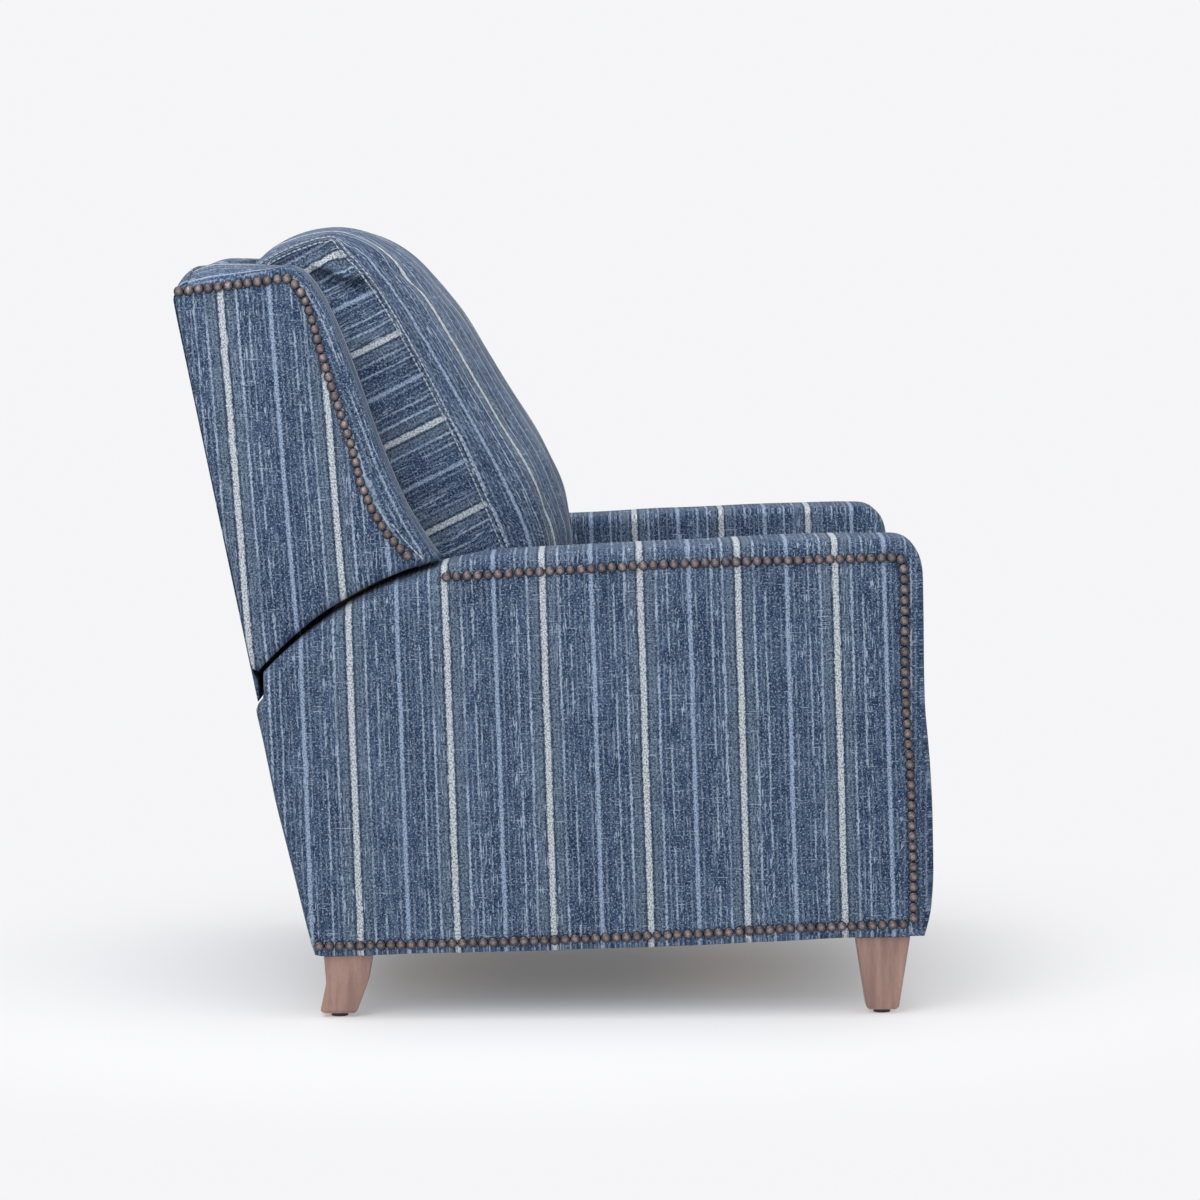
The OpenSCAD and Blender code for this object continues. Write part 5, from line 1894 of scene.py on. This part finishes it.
@dataclass
class Seat:
    """Seat cushion, pad behind it, deck cloth and the footrest's padded face."""

    sizes: Sizes = SIZES
    back_y: float = 58.0
    setback: float = 8.0
    crown: float = 16.0
    stripe_start: float = 62.5
    border: Pairs = (
        (0, 9), (0.02, 3.5), (0.07, 1), (0.16, 0), (0.3, 1.5), (0.45, 3), (0.6, 3), (0.75, 1.8), (0.88, 0.4),
        (0.96, 0), (1.0, 1.6))
    deck_t: float = 1.6

    def rounded(self, half_x: float, low: float, high: float, r: float) -> np.ndarray:
        """Rounded rectangle about X = 0.

        Args:
            half_x: half its width.
            low: its lower limit on the other axis.
            high: its upper limit.
            r: radius of its corners.

        Returns:
            The outline.
        """
        return np.vstack([arc((half_x - r, high - r), r, 0, 90, 8), arc((r - half_x, high - r), r, 90, 180, 8),
                          arc((r - half_x, low + r), r, 180, 270, 8), arc((half_x - r, low + r), r, 270, 360, 8)])

    def build(self, finishes: Finishes) -> None:
        """Makes the pieces of the seat and the footrest's face.

        Args:
            finishes: the chair's finishes.
        """
        self.cushion(finishes)
        self.lumbar(finishes)
        self.deck(finishes)
        self.footrest(finishes)

    def cushion(self, finishes: Finishes) -> None:
        """Makes the boxed seat cushion with its drawn-in border and crowned top.

        Args:
            finishes: the chair's finishes.
        """
        s = self.sizes
        low, high, front = s.deck_h + 0.3, s.cushion_h, s.front_y + self.setback
        outline = resample(anticlockwise(self.rounded(s.moving_x, front, self.back_y, 34)), 9)
        normal = inward(outline)
        rings = [np.column_stack([outline + d * normal, np.full(len(outline), low + t * (high - low))])
                 for t, d in self.border]
        middle = (front + self.back_y) / 2

        def top(f: np.ndarray, d: np.ndarray) -> np.ndarray:
            """Crowned top that falls to the seam.

            Args:
                f: flat points.
                d: distance of each from the seam.

            Returns:
                One height per point.
            """
            a = np.clip(1 - (f[:, 0] / s.moving_x) ** 2, 0, 1) * np.clip(
                1 - ((f[:, 1] - middle) / (self.back_y - middle)) ** 4, 0, 1)
            return high + self.crown * (0.35 * a + 0.65 * (1 - np.exp(-((d / 55) ** 1.4))))

        form = closed_form(rings, Axis.Z, 11, level(low), top)
        across = Lay((1, 0, 0), (0, -1, 1), self.stripe_start)
        flank = Lay((0, 1, 0), (1, 0, 1), self.stripe_start)
        cushion = piece_from("seat_cushion_cover", form, finishes.cloth, [
            (across, everywhere), (flank, lambda m, n, p: (p == 0) & (np.abs(n[:, 0]) > 0.75))])
        held = form.points[:, 2] < low + 1
        inflate(cushion, start=4, limit=8, held=held)
        soften(cushion, size=75, height=2.2, seed=7.0)
        subdivide(cushion)
        dress(cushion, "seat", ["seat_cushion"])
        place = np.array([cushion.data.vertices[i].co[:] for i in form.seams[1]]) / MM
        loop = np.vstack([place, place[:1]])
        out = np.vstack([-unit(normal), -unit(normal)[:1]])
        lines = [loop + np.column_stack([out * d, np.full(len(out), z)]) for d, z in ((1.4, -4.2), (-4.2, 1.6))]
        Stitching("seat_cushion_stitches", "seat", lines).build(finishes.thread)

    def lumbar(self, finishes: Finishes) -> None:
        """Makes the pad that closes the gap behind the seat cushion.

        Args:
            finishes: the chair's finishes.
        """
        s = self.sizes
        outline = self.rounded(s.moving_x - 6, self.back_y + 6, CUSHION.rear_low_y - 4, 20)
        form = slab(outline, Axis.Z, (s.deck_h + 8, s.cushion_low - 4.3), roll=12, puff=(2, 2), step=14)
        lay = Lay((1, 0, 0), (0, -1, 1), self.stripe_start)
        pad = piece_from("lumbar_pad_cover", form, finishes.cloth, [(lay, everywhere)])
        dress(pad, "back", ["lumbar_pad"])

    def deck(self, finishes: Finishes) -> None:
        """Makes the deck cloth over the springs, with its front fall.

        Args:
            finishes: the chair's finishes.
        """
        lo, hi = (np.array(corner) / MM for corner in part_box("seat_deck"))
        xs = np.linspace(lo[0], hi[0], 41)
        fall = np.linspace(lo[2], hi[2] - 3, 6)
        top = np.linspace(lo[1] + 3, hi[1], 44)
        points: list[Triple] = []
        sag = 0.9 * np.sin(math.pi * (top - lo[1]) / (hi[1] - lo[1]))
        for layer in (0.0, self.deck_t):
            for x in xs:
                points.extend((x, lo[1] + layer, z) for z in fall)
                points.extend((x, y, hi[2] - layer - low * (1 - (x / hi[0]) ** 4)) for y, low in zip(top, sag))
        rows = len(fall) + len(top)
        half = rows * len(xs)
        faces: Faces = []
        for i in range(len(xs) - 1):
            for j in range(rows - 1):
                a = i * rows + j
                quad = (a, a + 1, a + rows + 1, a + rows)
                faces.append(quad)
                faces.append(tuple(half + k for k in reversed(quad)))
        rim = ([i * rows for i in range(len(xs))] + [(len(xs) - 1) * rows + j for j in range(1, rows)]
               + [i * rows + rows - 1 for i in range(len(xs) - 2, -1, -1)] + list(range(rows - 2, 0, -1)))
        faces.extend((rim[k], rim[(k + 1) % len(rim)], half + rim[(k + 1) % len(rim)], half + rim[k])
                     for k in range(len(rim)))
        cloth = piece_from("deck_cloth_sheet", plain_form(points, faces), finishes.deck)
        dress(cloth, "seat", ["seat_deck"])

    def footrest(self, finishes: Finishes) -> None:
        """Makes the padded face of the footrest.

        Args:
            finishes: the chair's finishes.
        """
        lo, hi = (np.array(corner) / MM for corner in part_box("footrest_pad"))
        outline = self.rounded(hi[0], lo[2], hi[2], 20)
        form = slab(outline, Axis.Y, (lo[1], hi[1]), roll=9, puff=(6, 0), step=11, soft=45)
        lay = Lay((1, 0, 0), (0, 1, 1), self.stripe_start)
        pad = piece_from("footrest_upholstery", form, finishes.cloth, [(lay, everywhere)])
        soften(pad, size=70, height=1.6, seed=11.0)
        dress(pad, "footrest", ["footrest_pad"])


@dataclass
class Base:
    """The rear panel between the arms and the four legs."""

    sizes: Sizes = SIZES
    panel_t: float = 14.0
    leg_x: float = 346.5
    leg_half: float = 31.0
    foot_half: float = 21.0
    front_leg: Pair = (-459.5, -389.5)
    front_foot: Pair = (-445.5, -403.5)
    rear_leg: Pair = (236.0, 299.0)
    rear_mid: Pair = (243.0, 297.0)
    rear_foot: Pair = (257.0, 305.0)
    glide_h: float = 5.0
    bevel: float = 4.0
    edge_r: float = 1.8

    def build(self, finishes: Finishes) -> None:
        """Makes the rear panel and the legs.

        Args:
            finishes: the chair's finishes.
        """
        self.panel(finishes)
        for side in Side:
            self.leg(f"leg_front_{side.tag}", side, False, finishes)
            self.leg(f"leg_rear_{side.tag}", side, True, finishes)

    def panel(self, finishes: Finishes) -> None:
        """Makes the padded rear panel of the base.

        Args:
            finishes: the chair's finishes.
        """
        s = self.sizes
        low, high = s.rear_under - 6, s.rear_panel_h
        rear = [[s.cloth_rear(z), z] for z in np.linspace(low, high, 80)]
        outline = resample(anticlockwise(np.array(rear + [
            [s.base_rear(high) - self.panel_t, high], [s.base_rear(low) - self.panel_t, low]])), 9)
        out = -unit(inward(outline))
        wide = s.inner_x - 0.3
        share = np.clip(np.minimum(outline[:, 1] - low, high - outline[:, 1]) / 40, 0, 1) * np.clip(out[:, 0], 0, 1)
        rings = []
        for x in np.linspace(-wide, wide, 45):
            swell = 2.0 * (1 - abs(x / wide) ** 8)
            rings.append(np.insert(outline + out * (swell * share - 0.2)[:, None], 0, x, 1))
        form = closed_form(rings, Axis.X, 9, level(-wide), level(wide))
        lay = Lay((1, 0, 0), (0, 0, 1), s.rear_stripe)
        panel = piece_from("rear_panel_upholstery", form, finishes.cloth, [(lay, everywhere)])
        soften(panel, size=110, height=1.0, seed=6.0)
        dress(panel, "base", ["rear_panel"])

    def leg(self, name: str, side: Side, rear: bool, finishes: Finishes) -> None:
        """Makes a tapered leg with softened edges.

        Args:
            name: name of the solid that it replaces.
            side: which side it is on.
            rear: True for a rear leg.
            finishes: the chair's finishes.
        """
        s, g, b = self.sizes, self.glide_h, self.bevel
        top, foot = (self.rear_leg, self.rear_foot) if rear else (self.front_leg, self.front_foot)
        levels = [((foot[0] + b, foot[1] - b), self.foot_half - b, (g, g)), (foot, self.foot_half, (g + b, g + b))]
        if rear:
            levels.append((self.rear_mid, self.foot_half + 3, (s.rear_under / 2,) * 2))
        levels.append((top, self.leg_half, (s.cloth_under_z(top[0]) - 0.3, s.cloth_under_z(top[1]) - 0.3)))
        points = []
        x = side.value * self.leg_x
        for (y0, y1), half, (z0, z1) in levels:
            points += [(x - half, y0, z0), (x + half, y0, z0), (x + half, y1, z1), (x - half, y1, z1)]
        faces = tube_faces(0, 4, len(levels) - 1)
        faces += [(0, 1, 2, 3), tuple(len(points) - 4 + k for k in range(4))]
        leg = piece_from(f"{name}_timber", plain_form(points, faces), finishes.leg, smooth=False)
        edge = leg.modifiers.new("edges", "BEVEL")
        edge.width, edge.segments = self.edge_r * MM, 3
        edge.limit_method, edge.angle_limit = "ANGLE", math.radians(40)
        edge.harden_normals = True
        leg.data.shade_smooth()
        dress(leg, "base", [name])


class Framework:
    """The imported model's own boards, links, pins and springs, which keep their shape."""

    def __init__(self, finishes: Finishes) -> None:
        """Lists the finish of each family of nodes; the first family that fits counts.

        Args:
            finishes: the chair's finishes.
        """
        across = ("stretcher", "crest_rail", "lower_back_rail", "seat_front_rail", "seat_rear_rail",
                  "footrest_board")
        self.steel = finishes.steel
        self.families = (
            (("glide",), finishes.glide), (("pivots", "clips"), finishes.zinc), (("spring",), finishes.wire),
            (across, finishes.boards[Axis.X]), (("side_rail", "arm_frame"), finishes.boards[Axis.Y]),
            (("back_side",), finishes.boards[Axis.Z]))

    def finish_of(self, name: str) -> bpy.types.Material:
        """The material of a node, by the words in its name.

        Args:
            name: the node's name.

        Returns:
            The material.
        """
        for words, material in self.families:
            if any(word in name for word in words):
                return material
        return self.steel

    def build(self) -> None:
        """Gives each shown node its finish."""
        for name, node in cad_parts.items():
            if node.hide_render:
                continue
            material = self.finish_of(name)
            node.data.materials.clear()
            node.data.materials.append(material)
            for face in node.data.polygons:
                face.material_index = 0
            LOG.info("%s finished as %s", name, material.name)


@dataclass
class Studio:
    """Pale floor, even sky, soft lamps and the camera of the photograph."""

    camera_place: Triple = (-5.52, -0.0613, 0.9832)
    lens: float = 120.7
    pitch: float = 4.9
    roll: float = 0.4
    backdrop: Colour = (0.915, 0.915, 0.93)
    # share of the floor's painted glow under the chair, which lifts the shadow there
    floor_glow: float = 0.13
    sky_strength: float = 0.64

    def build(self) -> None:
        """Makes the floor, the sky, the lamps and the camera."""
        bpy.context.scene.view_settings.view_transform = "Standard"
        self.floor()
        self.sky()
        self.lamp("overhead_lamp", (-0.5, 0.1, 3.4), (0, 0, 0.3), size=3.0, power=64)
        self.lamp("side_lamp", (-2.6, 1.1, 2.6), (0, 0.1, 0.7), size=2.0, power=42)
        self.camera()

    def floor(self) -> None:
        """Makes the floor, which mixes in a painted glow: a little under the chair, lifting its shadow, and more
        further out, where it runs out into the backdrop's colour.
        """
        g = Graph("floor")
        away = g.node("ShaderNodeVectorMath", operation="LENGTH")
        g.feed(away.inputs[0], g.scaled(g.place(), (0.8, 0.62, 1.0)))
        painted_glow = g.node("ShaderNodeEmission")
        g.feed(painted_glow.inputs[0], (*self.backdrop, 1))
        blend = g.node("ShaderNodeMixShader")
        # Painted light: the glow's share rises with distance from the chair's middle, lifting the floor's shade near
        # the chair.
        g.feed(blend.inputs[0], g.span(away.outputs["Value"], 0.05, 0.95, self.floor_glow, 1.0))
        g.set(Base_Color=(0.88, 0.88, 0.895), Roughness=0.9, Specular_IOR_Level=0.1)
        g.feed(blend.inputs[1], g.shader.outputs[0])
        g.feed(blend.inputs[2], painted_glow.outputs[0])
        g.feed(g.tree.nodes["Material Output"].inputs[0], blend.outputs[0])
        ring = [(30 * math.cos(a), 30 * math.sin(a), 0.0) for a in np.linspace(0, 2 * math.pi, 65)[:-1]]
        mesh = bpy.data.meshes.new("floor")
        mesh.from_pydata(ring, [], [tuple(range(64))])
        mesh.materials.append(g.material)
        floor = bpy.data.objects.new("floor", mesh)
        bpy.context.scene.collection.objects.link(floor)

    def sky(self) -> None:
        """Makes the even light, which the camera sees as the backdrop."""
        world = bpy.data.worlds.new("studio")
        bpy.context.scene.world = world
        world.use_nodes = True
        tree = world.node_tree
        ground = tree.nodes["Background"]
        ground.inputs[0].default_value = (1, 1, 1, 1)
        ground.inputs[1].default_value = self.sky_strength
        seen = tree.nodes.new("ShaderNodeBackground")
        seen.inputs[0].default_value = (*self.backdrop, 1)
        path = tree.nodes.new("ShaderNodeLightPath")
        blend = tree.nodes.new("ShaderNodeMixShader")
        tree.links.new(path.outputs["Is Camera Ray"], blend.inputs[0])
        tree.links.new(ground.outputs[0], blend.inputs[1])
        tree.links.new(seen.outputs[0], blend.inputs[2])
        tree.links.new(blend.outputs[0], tree.nodes["World Output"].inputs[0])

    def lamp(self, name: str, place: Triple, aim: Triple, size: float, power: float) -> None:
        """Makes a square soft lamp.

        Args:
            name: its name.
            place: where it hangs.
            aim: the point that it faces.
            size: its side in metres.
            power: its power in watts.
        """
        data = bpy.data.lights.new(name, "AREA")
        data.size, data.energy = size, power
        lamp = bpy.data.objects.new(name, data)
        lamp.location = place
        lamp.rotation_euler = (Vector(aim) - Vector(place)).to_track_quat("-Z", "Y").to_euler()
        bpy.context.scene.collection.objects.link(lamp)

    def camera(self) -> None:
        """Makes the camera at the photograph's viewing angle."""
        data = bpy.data.cameras.new("camera")
        data.lens, data.sensor_width = self.lens, 36.0
        data.clip_start, data.clip_end = 0.1, 100
        camera = bpy.data.objects.new("camera", data)
        camera.location = self.camera_place
        down = math.radians(self.pitch)
        turn = Matrix(((0, math.sin(down), -math.cos(down)), (-1, 0, 0), (0, math.cos(down), math.sin(down))))
        roll = Matrix.Rotation(-math.radians(self.roll), 3, "Z")
        camera.rotation_euler = (turn @ roll).to_euler()
        bpy.context.scene.collection.objects.link(camera)
        bpy.context.scene.camera = camera


def main() -> None:
    """Builds the chair's looks, one sub-assembly after another."""
    logging.basicConfig(level=logging.INFO, format="%(message)s")
    finishes = Finishes()
    Studio().build()
    for side in Side:
        Arm(side).build(finishes)
    Back().build(finishes)
    CUSHION.build(finishes)
    Seat().build(finishes)
    Base().build(finishes)
    Framework(finishes).build()


if __name__ == "__main__":
    main()
